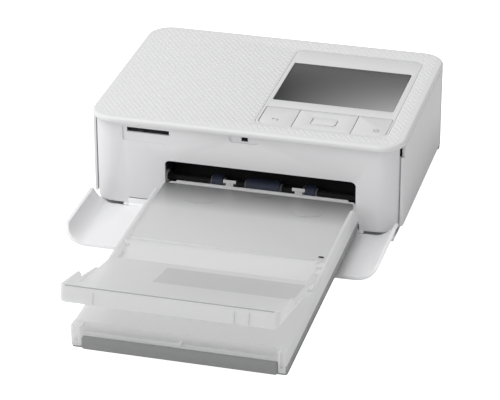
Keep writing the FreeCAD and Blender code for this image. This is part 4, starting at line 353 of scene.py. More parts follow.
def plastic(name, colour, rough=0.42, grain=GRAIN_SIZE, lift=0.06, coat=0.0, shine=0.5):
    """Moulded plastic with a fine grain."""
    material, tree, shader = new_material(name)
    grains = group_node(tree, "Moulded grain")
    grains.inputs["Size"].default_value = grain
    tint = add(tree, "ShaderNodeVectorMath", operation="SCALE")
    tint.inputs[0].default_value = colour
    tint.name = "Colour"
    bump = add(tree, "ShaderNodeBump", Strength=lift, Distance=GRAIN_DEPTH)
    tree.links.new(grains.outputs["Tone"], tint.inputs["Scale"])
    tree.links.new(tint.outputs[0], shader.inputs["Base Color"])
    tree.links.new(grains.outputs["Height"], bump.inputs["Height"])
    tree.links.new(bump.outputs[0], shader.inputs["Normal"])
    shader.inputs["Roughness"].default_value = rough
    shader.inputs["Specular IOR Level"].default_value = shine
    shader.inputs["Coat Weight"].default_value = coat
    shader.inputs["Coat Roughness"].default_value = COAT_ROUGHNESS
    return material, tree, shader


def metal(name, colour, lines=0.4):
    """Drawn or turned metal with fine lines."""
    _, tree, shader = new_material(name)
    shader.inputs["Base Color"].default_value = (*colour, 1.0)
    shader.inputs["Metallic"].default_value = 1.0
    brushed = group_node(tree, "Brushed lines")
    brushed.inputs["Lines"].default_value = lines
    bump = add(tree, "ShaderNodeBump", Strength=BRUSH_STRENGTH, Distance=BRUSH_DEPTH)
    tree.links.new(brushed.outputs["Roughness"], shader.inputs["Roughness"])
    tree.links.new(brushed.outputs["Height"], bump.inputs["Height"])
    tree.links.new(bump.outputs[0], shader.inputs["Normal"])


# Materials

SHADOW_PASS = 0.84
CLEAR_SHARE = 0.20
CLEAR_GLOW = 0.42
SHADED_SHARE = 0.04
SHADED_GLOW = 0.2
COVER_FADE = 0.42
# Box of the painted shade band on the outer cover
SHADE_BAND_LOW = (-0.011, -0.203, 0.0)
SHADE_BAND_HIGH = (0.064, -0.1765, 0.06)
SKIN = 0.0003
CASE_FOOT = 0.0040
CASE_SKIN = 0.0005
CASE_FOOT_COLOUR = (0.33, 0.33, 0.335)
FRONT_BAR = 0.0021
SHAFT_COLOUR = (0.010, 0.010, 0.011)
# Painted highlight: a lighter colour on the collars' rims in place of glints
COLLAR_HIGHLIGHT_COLOUR = (0.15, 0.15, 0.15)
COLLAR_START = 0.0022
GLASS_ROUGHNESS = 0.22
GLASS_SHINE = 0.22
FROST_ROUGHNESS = 0.34
FROST_GRAIN = 0.0006
FROST_LIFT = 0.10
STRAIGHT_COLOUR = (0.97, 0.97, 0.97)
BOARD_COLOUR = (0.02, 0.12, 0.05)
BOARD_LIGHT = (0.022, 0.14, 0.06)
BOARD_DARK = (0.018, 0.11, 0.045)
TRACK_COLOUR = (0.05, 0.24, 0.11)
TRACK_SCALE = 220.0
RUBBER_COLOUR = (0.02, 0.02, 0.02)
BRIGHT_STEEL = (0.72, 0.72, 0.74)
SHEET_STEEL = (0.45, 0.46, 0.48)
MOTOR_STEEL = (0.6, 0.6, 0.6)
ALUMINIUM = (0.80, 0.80, 0.82)
GEAR_COLOUR = (0.72, 0.70, 0.62)
RIBBON_CASE_COLOUR = (0.06, 0.065, 0.07)
FILM_COLOUR = (0.55, 0.30, 0.06)
CERAMIC_COLOUR = (0.62, 0.61, 0.56)
PAPER_COLOUR = (0.86, 0.86, 0.85)


def screen_glass(colours):
    """The dark display behind its glossy window, with a painted reflection in its colour: darker at the rear
    left, lighter at the front right.
    """
    _, tree, shader = new_material("screen_glass")
    fade = group_node(tree, "Painted display reflection")
    colour = blend(tree, fade.outputs[0], colours.screen_reflection_dim, colours.screen_reflection_bright)
    tree.links.new(colour, shader.inputs["Base Color"])
    shader.inputs["Roughness"].default_value = GLASS_ROUGHNESS
    shader.inputs["Specular IOR Level"].default_value = GLASS_SHINE


def frosted(name, colour, clear, glow):
    """Translucent frosted plastic. More light passes straight for shadows and bounces than for the eye."""
    material, tree, shader = plastic(name, colour, rough=FROST_ROUGHNESS, grain=FROST_GRAIN, lift=FROST_LIFT)
    output = tree.nodes["Material Output"]
    through = add(tree, "ShaderNodeBsdfTranslucent")
    tree.links.new(tree.nodes["Colour"].outputs[0], through.inputs["Color"])
    straight = add(tree, "ShaderNodeBsdfTransparent")
    straight.inputs["Color"].default_value = (*STRAIGHT_COLOUR, 1.0)
    scatter = add(tree, "ShaderNodeMixShader")
    scatter.inputs[0].default_value = glow
    pass_on = add(tree, "ShaderNodeMixShader")
    path = add(tree, "ShaderNodeLightPath")
    share = add(tree, "ShaderNodeMapRange")
    share.inputs["To Min"].default_value = clear
    share.inputs["To Max"].default_value = SHADOW_PASS
    unseen = add(tree, "ShaderNodeMath", operation="MAXIMUM")
    tree.links.new(path.outputs["Is Shadow Ray"], unseen.inputs[0])
    tree.links.new(path.outputs["Is Diffuse Ray"], unseen.inputs[1])
    tree.links.new(unseen.outputs[0], share.inputs["Value"])
    tree.links.new(share.outputs[0], pass_on.inputs[0])
    tree.links.new(shader.outputs[0], scatter.inputs[1])
    tree.links.new(through.outputs[0], scatter.inputs[2])
    tree.links.new(scatter.outputs[0], pass_on.inputs[1])
    tree.links.new(straight.outputs[0], pass_on.inputs[2])
    tree.links.new(pass_on.outputs[0], output.inputs["Surface"])
    return material, tree, shader


def shaded_cover(colours):
    """The inner cover, with painted shade: dark over the opening, light towards its front."""
    _, tree, _ = frosted("cover_shaded", colours.cassette, clear=SHADED_SHARE, glow=SHADED_GLOW)
    left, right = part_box("cassette_inner_cover")
    ramp = group_node(tree, "Ramp along Y")
    ramp.inputs["Start"].default_value = right[1]
    ramp.inputs["End"].default_value = right[1] - COVER_FADE * (right[1] - left[1])
    tree.links.new(blend(tree, ramp.outputs[0], colours.shade, colours.cover),
                   tree.nodes["Colour"].inputs[0])


def patched_clear(name, colours, low, high, patch):
    """Clear cassette plastic that takes another colour inside a box."""
    _, tree, _ = frosted(name, colours.cassette, clear=CLEAR_SHARE, glow=CLEAR_GLOW)
    inside = group_node(tree, "Inside box")
    inside.inputs["Low"].default_value = low
    inside.inputs["High"].default_value = high
    tree.links.new(blend(tree, inside.outputs[0], colours.cassette, patch),
                   tree.nodes["Colour"].inputs[0])


def shade_band_cover(colours):
    """The outer cover, with a band of painted shade: the darker band that is seen through it."""
    patched_clear("cover_shade_band", colours, SHADE_BAND_LOW, SHADE_BAND_HIGH, colours.band)


def edged_case(colours):
    """The cassette's case, grey along the foot of its right side."""
    low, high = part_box("cassette_case")
    patched_clear("case_edged", colours, (high[0] - CASE_SKIN, low[1] - SKIN, low[2] - SKIN),
                  (high[0] + SKIN, high[1] + SKIN, low[2] + CASE_FOOT), CASE_FOOT_COLOUR)


def cassette_floor(colours):
    """The cassette base: grey outside and on its front bar, light on its upper side."""
    _, tree, _ = plastic("cassette_grey", colours.cassette_base, rough=0.4)
    low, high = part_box("cassette_base")
    inside = group_node(tree, "Inside box")
    inside.inputs["Low"].default_value = (low[0] + SKIN, low[1] + FRONT_BAR, low[2] + SKIN)
    inside.inputs["High"].default_value = (high[0] - SKIN, high[1], high[2] + SKIN)
    tree.links.new(blend(tree, inside.outputs[0], colours.cassette_base, colours.cassette_light),
                   tree.nodes["Colour"].inputs[0])


def dark_shaft():
    """The pick-up shaft: dark, with painted highlights on its collars."""
    _, tree, _ = plastic("shaft_dark", SHAFT_COLOUR, rough=0.6, shine=0.15)
    low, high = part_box("pickup_tyres")
    collar = group_node(tree, "Outside radius")
    collar.inputs["Centre"].default_value = [(low[i] + high[i]) / 2 for i in range(3)]
    collar.inputs["Radius"].default_value = COLLAR_START
    tree.links.new(blend(tree, collar.outputs[0], SHAFT_COLOUR, COLLAR_HIGHLIGHT_COLOUR),
                   tree.nodes["Colour"].inputs[0])


def circuit_board():
    """Green board with lighter tracks."""
    _, tree, shader = plastic("board_green", BOARD_COLOUR, rough=0.3)
    place = add(tree, "ShaderNodeTexCoord")
    tracks = add(tree, "ShaderNodeTexBrick", Scale=TRACK_SCALE)
    tracks.inputs["Color1"].default_value = (*BOARD_DARK, 1.0)
    tracks.inputs["Color2"].default_value = (*BOARD_LIGHT, 1.0)
    tracks.inputs["Mortar"].default_value = (*TRACK_COLOUR, 1.0)
    tree.links.new(place.outputs["Object"], tracks.inputs["Vector"])
    tree.links.new(tracks.outputs["Color"], shader.inputs["Base Color"])


def build_materials():
    colours, _ = settings()
    grain_group()
    brushed_group()
    painted_reflection_group()
    box_group()
    collar_group()
    ramp_group()
    plastic("housing_top", colours.top)
    plastic("housing_plastic", colours.housing)
    plastic("door_plastic", colours.door, rough=0.36)
    plastic("rubber_black", RUBBER_COLOUR, rough=0.8)
    metal("steel_bright", BRIGHT_STEEL)
    metal("steel_sheet", SHEET_STEEL, lines=1.0)
    plastic("panel_grey", colours.panel, rough=0.28, lift=0.02)
    screen_glass(colours)
    plastic("inner_dark", colours.inner, rough=0.5, shine=0.15)
    plastic("key_plastic", colours.keys, rough=0.3, lift=0.02)
    plastic("symbol_grey", colours.symbols, rough=0.5)
    plastic("rib_edge_shade", EDGE_SHADE_COLOUR, rough=0.4)
    circuit_board()
    plastic("roller_rubber", colours.roller, rough=0.62, lift=0.2)
    plastic("gear_plastic", GEAR_COLOUR, rough=0.35)
    metal("motor_steel", MOTOR_STEEL)
    plastic("ribbon_case", RIBBON_CASE_COLOUR, rough=0.35)
    plastic("ribbon_film", FILM_COLOUR, rough=0.2, coat=0.6)
    metal("sink_aluminium", ALUMINIUM)
    plastic("head_ceramic", CERAMIC_COLOUR, rough=0.5)
    cassette_floor(colours)
    frosted("cassette_clear", colours.cassette, clear=CLEAR_SHARE, glow=CLEAR_GLOW)
    shade_band_cover(colours)
    edged_case(colours)
    shaded_cover(colours)
    dark_shaft()
    plastic("paper_white", PAPER_COLOUR, rough=0.6)


# Mesh helpers

def node_body(node):
    """The moving body that a node belongs to."""
    for body, nodes in frame["record"]["behaviour"]["bodies"].items():
        if node in nodes:
            return body
    raise RuntimeError(f"no body for {node}")


def node_slot(node):
    return next(part["material_slot"] for part in frame["record"]["subparts"] if part["node"] == node)


def hand_over(piece, body, node=None):
    """Gives a finished piece to the body that it moves with."""
    if node:
        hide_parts(node)
    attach(piece, body)


def new_piece(name, mesh, material):
    piece = bpy.data.objects.new(name, mesh)
    bpy.context.scene.collection.objects.link(piece)
    mesh.materials.clear()
    mesh.materials.append(PAINTS[material])
    return piece


SMOOTH_BELOW = math.radians(32.0)
ROUND_ABOVE = math.radians(38.0)
FLAT_BELOW = math.radians(0.6)
MERGE_WITHIN = 1e-6


def smooth(mesh):
    mesh.polygons.foreach_set("use_smooth", [True] * len(mesh.polygons))
    mesh.set_sharp_from_angle(angle=SMOOTH_BELOW)


def ordered_mesh(name, shape):
    """A mesh whose points and faces come in the same order each run."""
    points = sorted(shape.verts, key=lambda point: tuple(point.co))
    rank = {point: place for place, point in enumerate(points)}
    faces = []
    for face in shape.faces:
        corners = [rank[point] for point in face.verts]
        turn = corners.index(min(corners))
        faces.append(corners[turn:] + corners[:turn])
    mesh = bpy.data.meshes.new(name)
    mesh.from_pydata([point.co for point in points], [], sorted(faces))
    return mesh


# Nodes whose visible material differs from their slot's plain one
LOOKS = {
    "cassette_case": "case_edged",
    "cassette_inner_cover": "cover_shaded",
    "cassette_outer_cover": "cover_shade_band",
}


def soft_piece(node, width, steps):
    """The node's own mesh with its sharp edges rounded, in place of the node."""
    shape = bmesh.new()
    shape.from_mesh(frame["nodes"][node].data)
    bmesh.ops.remove_doubles(shape, verts=shape.verts, dist=MERGE_WITHIN)
    bmesh.ops.dissolve_limit(shape, angle_limit=FLAT_BELOW, verts=shape.verts, edges=shape.edges)
    sharp = [edge for edge in shape.edges
             if len(edge.link_faces) == 2 and edge.calc_face_angle(0.0) > ROUND_ABOVE]
    bmesh.ops.bevel(shape, geom=sharp, offset=width, offset_type="OFFSET", segments=steps, profile=0.5,
                    affect="EDGES", clamp_overlap=True)
    bmesh.ops.triangulate(shape, faces=shape.faces)
    mesh = ordered_mesh(f"soft_{node}", shape)
    shape.free()
    smooth(mesh)
    slot = node_slot(node)
    piece = new_piece(f"soft_{node}", mesh, LOOKS.get(node, slot))
    hand_over(piece, node_body(node), node)
    return piece


def soft_pieces(nodes, width):
    _, edges = settings()
    for node in nodes:
        soft_piece(node, width, edges.steps)


class PrinterStep(bpy.types.Operator):
    """A step that builds part of the scene."""
    bl_idname = "printer.step"
    bl_label = "Step"

    def build(self):
        raise NotImplementedError

    def execute(self, context):
        self.build()
        return {"FINISHED"}


class PRINTER_OT_materials(PrinterStep):
    """Makes the materials and gives every node its own"""
    bl_idname = "printer.materials"
    bl_label = "Materials"

    def build(self):
        build_materials()
        for node, item in frame["nodes"].items():
            for slot in item.material_slots:
                slot.material = PAINTS[node_slot(node)]
            if not item.material_slots:
                raise RuntimeError(f"{node} has no material slot")


class PRINTER_OT_housing(PrinterStep):
    """Builds the housing walls, the top cover, the side cover and the door with rounded edges"""
    bl_idname = "printer.housing"
    bl_label = "Housing"

    def build(self):
        _, edges = settings()
        soft_pieces(["top_cover", "front_shell", "left_side_panel", "rear_shell", "terminal_cover",
                     "side_cover"], edges.housing)
        soft_pieces(["front_door"], edges.door)


class PRINTER_OT_panel(PrinterStep):
    """Builds the control panel and its keys with rounded edges"""
    bl_idname = "printer.panel"
    bl_label = "Control panel"

    def build(self):
        _, edges = settings()
        soft_pieces(["panel_bezel", "display_window", "menu_key", "direction_pad", "confirm_button",
                     "power_key"], edges.keys)


class PRINTER_OT_cassette(PrinterStep):
    """Builds the cassette and its covers with rounded edges"""
    bl_idname = "printer.cassette"
    bl_label = "Cassette"

    def build(self):
        _, edges = settings()
        soft_pieces(["cassette_base", "cassette_case", "cassette_inner_cover", "cassette_outer_cover"],
                    edges.cassette)


# The field of bumps

TOP_CORNER = 0.014
ROW_SHIFTS = (0.0, 0.5)
BUMP_SIDES = 4
BUMP_TOP_SHARE = 0.45
BUMP_STRETCH = (1.15, 0.85, 1.0)


def math_node(tree, operation, first, second=None):
    """The result of a math node on sockets or numbers."""
    item = tree.nodes.new("ShaderNodeMath")
    item.operation = operation
    for index, value in enumerate((first, second)):
        if value is None:
            continue
        if isinstance(value, (int, float)):
            item.inputs[index].default_value = value
        else:
            tree.links.new(value, item.inputs[index])
    return item.outputs[0]


def bump_grid(tree, source, bumps, half):
    """Two grids of points, the second between the points of the first."""
    columns = int(2 * half[0] / bumps.across) + 1
    rows = int(2 * half[1] / bumps.along) + 1
    across = source.outputs["Across"]
    along = source.outputs["Along"]
    link = tree.links.new
    merged = tree.nodes.new("GeometryNodeJoinGeometry")
    for shift in ROW_SHIFTS:
        grid = tree.nodes.new("GeometryNodeMeshGrid")
        grid.inputs["Vertices X"].default_value = columns
        grid.inputs["Vertices Y"].default_value = rows
        link(math_node(tree, "MULTIPLY", across, columns - 1), grid.inputs["Size X"])
        link(math_node(tree, "MULTIPLY", along, rows - 1), grid.inputs["Size Y"])
        offset = tree.nodes.new("ShaderNodeCombineXYZ")
        link(math_node(tree, "MULTIPLY", across, shift), offset.inputs["X"])
        link(math_node(tree, "MULTIPLY", along, shift), offset.inputs["Y"])
        move = tree.nodes.new("GeometryNodeTransform")
        link(grid.outputs["Mesh"], move.inputs["Geometry"])
        link(offset.outputs[0], move.inputs["Translation"])
        link(move.outputs[0], merged.inputs[0])
    return merged


def past_rim(tree, place, half, margin):
    """1 where a point lies in the plain border along the rounded rim, or outside it."""
    squares = []
    for axis in (0, 1):
        away = math_node(tree, "ABSOLUTE", place.outputs[axis])
        past = math_node(tree, "SUBTRACT", away, half[axis] - TOP_CORNER)
        reach = math_node(tree, "MAXIMUM", past, 0.0)
        squares.append(math_node(tree, "MULTIPLY", reach, reach))
    distance = math_node(tree, "SQRT", math_node(tree, "ADD", *squares))
    return math_node(tree, "GREATER_THAN", distance, TOP_CORNER - margin)


def on_panel(tree, place, centre, border):
    """1 where a point lies on the control panel or in its plain border."""
    low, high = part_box("panel_bezel")
    inside = []
    for axis in (0, 1):
        middle = (low[axis] + high[axis]) / 2 - centre[axis]
        extent = (high[axis] - low[axis]) / 2 + border
        away = math_node(tree, "ABSOLUTE", math_node(tree, "SUBTRACT", place.outputs[axis], middle))
        inside.append(math_node(tree, "LESS_THAN", away, extent))
    return math_node(tree, "MULTIPLY", *inside)


def bump_shape(tree, source):
    """One small diamond."""
    link = tree.links.new
    cone = tree.nodes.new("GeometryNodeMeshCone")
    cone.inputs["Vertices"].default_value = BUMP_SIDES
    cone.inputs["Side Segments"].default_value = 1
    link(source.outputs["Size"], cone.inputs["Radius Bottom"])
    link(math_node(tree, "MULTIPLY", source.outputs["Size"], BUMP_TOP_SHARE), cone.inputs["Radius Top"])
    link(source.outputs["Height"], cone.inputs["Depth"])
    shape = tree.nodes.new("GeometryNodeTransform")
    shape.inputs["Scale"].default_value = BUMP_STRETCH
    link(cone.outputs["Mesh"], shape.inputs["Geometry"])
    return shape


def kept_points(tree, source, bumps):
    """The grid's points without those at the rim and on the panel, and the cover's centre."""
    low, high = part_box("top_cover")
    centre = [(low[i] + high[i]) / 2 for i in range(3)]
    half = [(high[i] - low[i]) / 2 for i in range(2)]
    link = tree.links.new
    merged = bump_grid(tree, source, bumps, half)
    position = tree.nodes.new("GeometryNodeInputPosition")
    place = tree.nodes.new("ShaderNodeSeparateXYZ")
    link(position.outputs[0], place.inputs[0])
    outside = past_rim(tree, place, half, bumps.margin)
    inside = on_panel(tree, place, centre, bumps.panel_margin)
    remove = tree.nodes.new("GeometryNodeDeleteGeometry")
    remove.domain = "POINT"
    link(merged.outputs[0], remove.inputs["Geometry"])
    link(math_node(tree, "MAXIMUM", outside, inside), remove.inputs["Selection"])
    return remove, (centre[0], centre[1], high[2])


def field_tree(bumps, material):
    """Geometry nodes that set small diamonds on the top cover, outside the control panel."""
    tree = bpy.data.node_groups.new("Bump field", "GeometryNodeTree")
    tree.interface.new_socket(name="Geometry", in_out="INPUT", socket_type="NodeSocketGeometry")
    tree.interface.new_socket(name="Geometry", in_out="OUTPUT", socket_type="NodeSocketGeometry")
    wanted = {"Across": bumps.across, "Along": bumps.along, "Size": bumps.size, "Height": bumps.height}
    for name in wanted:
        tree.interface.new_socket(name=name, in_out="INPUT", socket_type="NodeSocketFloat")
    source = tree.nodes.new("NodeGroupInput")
    result = tree.nodes.new("NodeGroupOutput")
    link = tree.links.new
    kept, top = kept_points(tree, source, bumps)
    shape = bump_shape(tree, source)
    points = tree.nodes.new("GeometryNodeInstanceOnPoints")
    link(kept.outputs[0], points.inputs["Points"])
    link(shape.outputs[0], points.inputs["Instance"])
    lift = tree.nodes.new("GeometryNodeTransform")
    lift.inputs["Translation"].default_value = top
    link(points.outputs[0], lift.inputs["Geometry"])
    real = tree.nodes.new("GeometryNodeRealizeInstances")
    link(lift.outputs[0], real.inputs["Geometry"])
    paint = tree.nodes.new("GeometryNodeSetMaterial")
    paint.inputs["Material"].default_value = material
    link(real.outputs[0], paint.inputs["Geometry"])
    link(paint.outputs[0], result.inputs[0])
    return tree, wanted


def grown_mesh(name, tree, wanted):
    """Runs a geometry node tree once and returns its result as a plain mesh."""
    holder = bpy.data.objects.new(name, bpy.data.meshes.new(name))
    bpy.context.scene.collection.objects.link(holder)
    modifier = holder.modifiers.new("Field", "NODES")
    modifier.node_group = tree
    for item in tree.interface.items_tree:
        if item.in_out == "INPUT" and item.name in wanted:
            modifier[item.identifier] = wanted[item.name]
    ready = holder.evaluated_get(bpy.context.evaluated_depsgraph_get())
    mesh = bpy.data.meshes.new_from_object(ready)
    holder.modifiers.remove(modifier)
    bpy.data.objects.remove(holder)
    if not mesh.polygons:
        raise RuntimeError(f"{name} came out empty")
    mesh.name = name
    return mesh


class PRINTER_OT_bumps(PrinterStep):
    """Sets the field of small bumps on the top cover"""
    bl_idname = "printer.bumps"
    bl_label = "Bump field"

    def build(self):
        bumps = bpy.context.scene.printer_bumps
        tree, wanted = field_tree(bumps, PAINTS["housing_top"])
        mesh = grown_mesh("bump_field", tree, wanted)
        piece = new_piece("bump_field", mesh, "housing_top")
        hand_over(piece, node_body("top_cover"))


# Symbols and moulded marks

def stroke(shape, points, width, height, level):
    """A flat raised line through points, as one box for each piece of it."""
    for first, second in zip(points, points[1:]):
        start = Vector((*first, 0.0))
        end = Vector((*second, 0.0))
        along = end - start
        turn = math.atan2(along.y, along.x)
        place = Matrix.Translation((start + end) / 2 + Vector((0, 0, level + height / 2)))
        size = Matrix.Diagonal((along.length + width, width, height, 1.0))
        bmesh.ops.create_cube(shape, size=1.0, matrix=place @ Matrix.Rotation(turn, 4, "Z") @ size)


def arc(centre, radius, start, end, steps, depth=None):
    """Points on part of a circle, or of an oval where a depth is given."""
    depth = radius if depth is None else depth
    turns = [math.radians(start + (end - start) * i / steps) for i in range(steps + 1)]
    return [(centre[0] + radius * math.cos(turn), centre[1] + depth * math.sin(turn)) for turn in turns]


def marks(name, node, material, lines, width, height):
    """Raised lines on the upper face of a node, moving with it."""
    shape = bmesh.new()
    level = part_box(node)[1][2]
    for points in lines:
        stroke(shape, points, width, height, level)
    mesh = bpy.data.meshes.new(name)
    shape.to_mesh(mesh)
    shape.free()
    piece = new_piece(name, mesh, material)
    hand_over(piece, node_body(node))


# Each oval's centre, half width and half depth
COVER_OVALS = (
    (-0.0201, -0.0862, 0.0090, 0.0046),
    (0.0131, -0.0725, 0.0056, 0.0034),
    (0.0423, -0.0874, 0.0084, 0.0046),
)
# Places and sizes of the marks, in metres
SYMBOL_WIDTH = 0.00035
SYMBOL_HEIGHT = 0.00004
BACK_CENTRE = (0.0138, -0.0452)
BACK_LEFT = 0.0016
BACK_RIGHT = 0.0010
BACK_BEND = 0.0009
BACK_TIP = 0.0017
BACK_HEAD = 0.0008
POWER_CENTRE = (0.0725, -0.0462)
POWER_RADIUS = 0.0014
POWER_LINE = (0.0006, 0.0019)
CONFIRM_INSET = 0.0004
CONFIRM_ENDS = 0.0016
OVAL_ARC = (175, 365)
OVAL_STEPS = 20
OVAL_WIDTH = 0.0005
OVAL_HEIGHT = 0.0003
RIB_PLACES = (-0.0285, 0.0450, 0.0525)
RIB_WIDTH = 0.00012
RIB_HEIGHT = 0.0064
RIB_DEPTH = 0.0007
RIB_MIDDLE_Z = 0.0445
RIB_FOOT_Z = 0.040
LIP_FOOT_Z = 0.0411
LIP_LINE = 0.0004
LIP_CORNER = 0.003
# Grey of the lip's line and ribs: painted shade along the clear cover's edge and ribs
EDGE_SHADE_COLOUR = (0.36, 0.36, 0.365)
LID_TILT = math.radians(12.0)
CATCH_CENTRE = (0.0625, -0.1355)
CATCH_SIZE = (0.0016, 0.0012)
CATCH_HEIGHT = 0.0001


def lip_line(shape):
    """A fine line of painted shade along the upper edge of the outer cover's lip."""
    low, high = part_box("cassette_outer_cover")
    length = high[0] - low[0] - 2 * LIP_CORNER
    edge_y = low[1] + (high[2] - LIP_FOOT_Z) * math.tan(LID_TILT)
    place = Matrix.Translation(((low[0] + high[0]) / 2, edge_y, high[2]))
    size = Matrix.Diagonal((length, LIP_LINE, LIP_LINE, 1.0))
    bmesh.ops.create_cube(shape, size=1.0, matrix=place @ Matrix.Rotation(-LID_TILT, 4, "X") @ size)


def lip_ribs():
    """Thin upright ribs on the front of the outer cover's lip, grey for painted shade, with the lip's line.
    """
    shape = bmesh.new()
    lip_line(shape)
    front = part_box("cassette_outer_cover")[0][1]
    middle_y = front + (RIB_MIDDLE_Z - RIB_FOOT_Z) * math.tan(LID_TILT)
    for x in RIB_PLACES:
        place = Matrix.Translation((x, middle_y, RIB_MIDDLE_Z)) @ Matrix.Rotation(-LID_TILT, 4, "X")
        size = Matrix.Diagonal((RIB_WIDTH, RIB_DEPTH, RIB_HEIGHT, 1.0))
        bmesh.ops.create_cube(shape, size=1.0, matrix=place @ size)
    mesh = bpy.data.meshes.new("lip_ribs")
    shape.to_mesh(mesh)
    shape.free()
    piece = new_piece("lip_ribs", mesh, "rib_edge_shade")
    hand_over(piece, node_body("cassette_outer_cover"))


def back_symbol():
    """A plain arrow that turns back, on the menu key."""
    x, y = BACK_CENTRE
    marks("back_symbol", "menu_key", "symbol_grey", [
        [(x - BACK_LEFT, y), (x + BACK_RIGHT, y)],
        arc((x + BACK_RIGHT, y - BACK_BEND), BACK_BEND, 90, -90, 8),
        [(x - BACK_HEAD, y + BACK_HEAD), (x - BACK_TIP, y), (x - BACK_HEAD, y - BACK_HEAD)],
    ], SYMBOL_WIDTH, SYMBOL_HEIGHT)


def power_symbol():
    """A plain open ring with a line, on the power key."""
    x, y = POWER_CENTRE
    marks("power_symbol", "power_key", "symbol_grey", [
        arc(POWER_CENTRE, POWER_RADIUS, 125, 415, 16),
        [(x, y + POWER_LINE[0]), (x, y + POWER_LINE[1])],
    ], SYMBOL_WIDTH, SYMBOL_HEIGHT)


def confirm_outline():
    """The line at the left end of the confirm button."""
    low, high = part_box("confirm_button")
    x = low[0] + CONFIRM_INSET
    marks("confirm_outline", "confirm_button", "symbol_grey", [
        [(x, low[1] + CONFIRM_ENDS), (x, high[1] - CONFIRM_ENDS)],
    ], SYMBOL_WIDTH, SYMBOL_HEIGHT)


def cover_marks():
    """The moulded half-ovals and the dark catch on the inner cover."""
    arcs = [arc((x, y), radius, *OVAL_ARC, OVAL_STEPS, depth) for x, y, radius, depth in COVER_OVALS]
    marks("cover_arcs", "cassette_inner_cover", "cover_shaded", arcs, OVAL_WIDTH, OVAL_HEIGHT)
    x, y = CATCH_CENTRE
    half = CATCH_SIZE[0] / 2
    marks("cover_catch", "cassette_inner_cover", "inner_dark", [[(x - half, y), (x + half, y)]],
          CATCH_SIZE[1], CATCH_HEIGHT)


class PRINTER_OT_symbols(PrinterStep):
    """Adds plain symbols to the keys, and moulded marks and ribs to the covers"""
    bl_idname = "printer.symbols"
    bl_label = "Symbols"

    def build(self):
        back_symbol()
        power_symbol()
        confirm_outline()
        cover_marks()
        lip_ribs()


# Stage

CAMERA_AZIMUTH = 14.972
CAMERA_HEIGHT = 27.132
CAMERA_ROLL = -0.129
CAMERA_DISTANCE = 1.459724
CAMERA_AIM = (-0.012545, -0.020335)
CAMERA_BASE = (0.0, 0.0, 0.0043)
CAMERA_LENS = 177.573
CAMERA_SENSOR = 36.0
CAMERA_REACH = 20.0
LIGHT_TARGET_HEIGHT = 0.03
KEY_PLACE = (-0.75, -0.35, 1.15)
KEY_TARGET = (0.0, -0.05, LIGHT_TARGET_HEIGHT)
KEY_SIZE = (0.9, 0.9)
FILL_PLACE = (-0.6, -1.4, 0.6)
FILL_TARGET = (0.0, 0.0, LIGHT_TARGET_HEIGHT)
FILL_SIZE = (1.2, 0.6)
FLOOR_HALF = 6.0
FLOOR_COLOUR = (0.93, 0.93, 0.93)
FLOOR_ROUGHNESS = 0.9
WHITE = (1.0, 1.0, 1.0)
BLACK = (0.0, 0.0, 0.0)


def place_camera():
    """The camera of the photograph."""
    azimuth, height, roll = (math.radians(value) for value in (CAMERA_AZIMUTH, CAMERA_HEIGHT, CAMERA_ROLL))
    level = math.cos(height)
    back = Vector((math.sin(azimuth) * level, -math.cos(azimuth) * level, math.sin(height)))
    right = Vector((math.cos(azimuth), math.sin(azimuth), 0.0))
    up = back.cross(right)
    turned_right = math.cos(roll) * right + math.sin(roll) * up
    turned_up = -math.sin(roll) * right + math.cos(roll) * up
    centre = Vector(CAMERA_BASE) + CAMERA_AIM[0] * turned_right + CAMERA_AIM[1] * turned_up
    data = bpy.data.cameras.new("photo_camera")
    data.lens = CAMERA_LENS
    data.sensor_width = CAMERA_SENSOR
    data.sensor_fit = "HORIZONTAL"
    data.clip_end = CAMERA_REACH
    camera = bpy.data.objects.new("photo_camera", data)
    turn = Matrix((turned_right, turned_up, back)).transposed()
    camera.matrix_world = Matrix.Translation(centre + back * CAMERA_DISTANCE) @ turn.to_4x4()
    bpy.context.scene.collection.objects.link(camera)
    bpy.context.scene.camera = camera


def area_light(name, place, target, size, power):
    data = bpy.data.lights.new(name, "AREA")
    data.shape = "RECTANGLE"
    data.size, data.size_y = size
    data.energy = power
    lamp = bpy.data.objects.new(name, data)
    direction = Vector(target) - Vector(place)
    lamp.matrix_world = Matrix.Translation(place) @ direction.to_track_quat("-Z", "Y").to_matrix().to_4x4()
    bpy.context.scene.collection.objects.link(lamp)


# The floor's shaded patch inside the housing's side and rear, clear of the rounded corners
SHADE_INSET = (0.003, 0.0042)


def pale_floor(stage):
    """A wide pale floor, white for the camera, with the object's soft shadow."""
    mesh = bpy.data.meshes.new("floor")
    half = FLOOR_HALF
    corners = [(-half, -half, 0), (half, -half, 0), (half, half, 0), (-half, half, 0)]
    mesh.from_pydata(corners, [], [(0, 1, 2, 3)])
    floor = bpy.data.objects.new("floor", mesh)
    bpy.context.scene.collection.objects.link(floor)
    material = bpy.data.materials.new("floor_paint")
    material.use_nodes = True
    shader = material.node_tree.nodes["Principled BSDF"]
    shader.inputs["Base Color"].default_value = (*FLOOR_COLOUR, 1.0)
    shader.inputs["Roughness"].default_value = FLOOR_ROUGHNESS
    shader.inputs["Specular IOR Level"].default_value = 0.0
    if stage.white_floor:
        tree = material.node_tree
        path = add(tree, "ShaderNodeLightPath")
        low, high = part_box("top_cover")
        under = group_node(tree, "Inside box")
        side, rear = SHADE_INSET
        under.inputs["Low"].default_value = (low[0] + side, low[1], -high[2])
        under.inputs["High"].default_value = (high[0] - side, high[1] - rear, high[2])
        tree.links.new(blend(tree, under.outputs[0], WHITE, BLACK), shader.inputs["Emission Color"])
        tree.links.new(path.outputs["Is Camera Ray"], shader.inputs["Emission Strength"])
    mesh.materials.append(material)


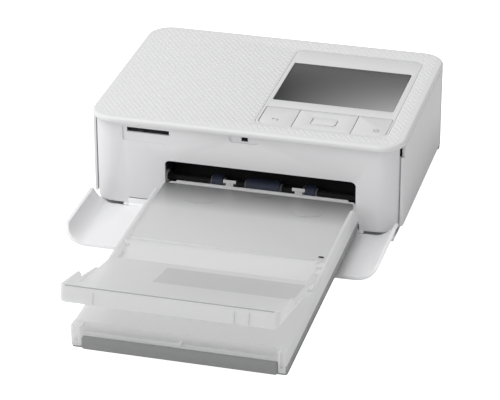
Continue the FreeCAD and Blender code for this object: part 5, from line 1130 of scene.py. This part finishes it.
def sky(strength):
    world = bpy.data.worlds.new("sky")
    world.use_nodes = True
    tree = world.node_tree
    light = tree.nodes["Background"]
    light.inputs["Color"].default_value = (*WHITE, 1.0)
    path = add(tree, "ShaderNodeLightPath")
    level = add(tree, "ShaderNodeMapRange")
    level.inputs["To Min"].default_value = strength
    level.inputs["To Max"].default_value = 1.0
    tree.links.new(path.outputs["Is Camera Ray"], level.inputs["Value"])
    tree.links.new(level.outputs[0], light.inputs["Strength"])
    bpy.context.scene.world = world


class PRINTER_OT_stage(PrinterStep):
    """Sets the floor, the light and the camera"""
    bl_idname = "printer.stage"
    bl_label = "Stage"

    def build(self):
        scene = bpy.context.scene
        stage = scene.printer_stage
        pale_floor(stage)
        sky(stage.sky)
        area_light("key_light", KEY_PLACE, KEY_TARGET, KEY_SIZE, stage.key_power)
        area_light("fill_light", FILL_PLACE, FILL_TARGET, FILL_SIZE, stage.fill_power)
        place_camera()
        scene.view_settings.view_transform = "Standard"


STEPS = (
    PRINTER_OT_materials, PRINTER_OT_housing, PRINTER_OT_panel, PRINTER_OT_cassette, PRINTER_OT_bumps,
    PRINTER_OT_symbols, PRINTER_OT_stage,
)
GROUPS = (
    ("printer_colours", PrinterColours), ("printer_edges", PrinterEdges), ("printer_bumps", PrinterBumps),
    ("printer_stage", PrinterStage),
)


class PRINTER_PT_panel(bpy.types.Panel):
    """Lists the steps and their settings"""
    bl_idname = "PRINTER_PT_panel"
    bl_label = "Photo printer"
    bl_space_type = "VIEW_3D"
    bl_region_type = "UI"
    bl_category = "Printer"

    def draw(self, context):
        for step in STEPS:
            self.layout.operator(step.bl_idname)
        for name, kind in GROUPS:
            box = self.layout.box()
            for field in kind.__annotations__:
                box.prop(getattr(context.scene, name), field)


def register():
    for _, kind in GROUPS:
        bpy.utils.register_class(kind)
    for step in STEPS:
        bpy.utils.register_class(step)
    bpy.utils.register_class(PRINTER_PT_panel)
    for name, kind in GROUPS:
        setattr(bpy.types.Scene, name, PointerProperty(type=kind))


def unregister():
    for name, _ in GROUPS:
        delattr(bpy.types.Scene, name)
    bpy.utils.unregister_class(PRINTER_PT_panel)
    for step in reversed(STEPS):
        bpy.utils.unregister_class(step)
    for _, kind in reversed(GROUPS):
        bpy.utils.unregister_class(kind)


def main():
    frame.update(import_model())
    register()
    for step in STEPS:
        area, name = step.bl_idname.split(".")
        getattr(getattr(bpy.ops, area), name)()


if __name__ == "__main__":
    main()
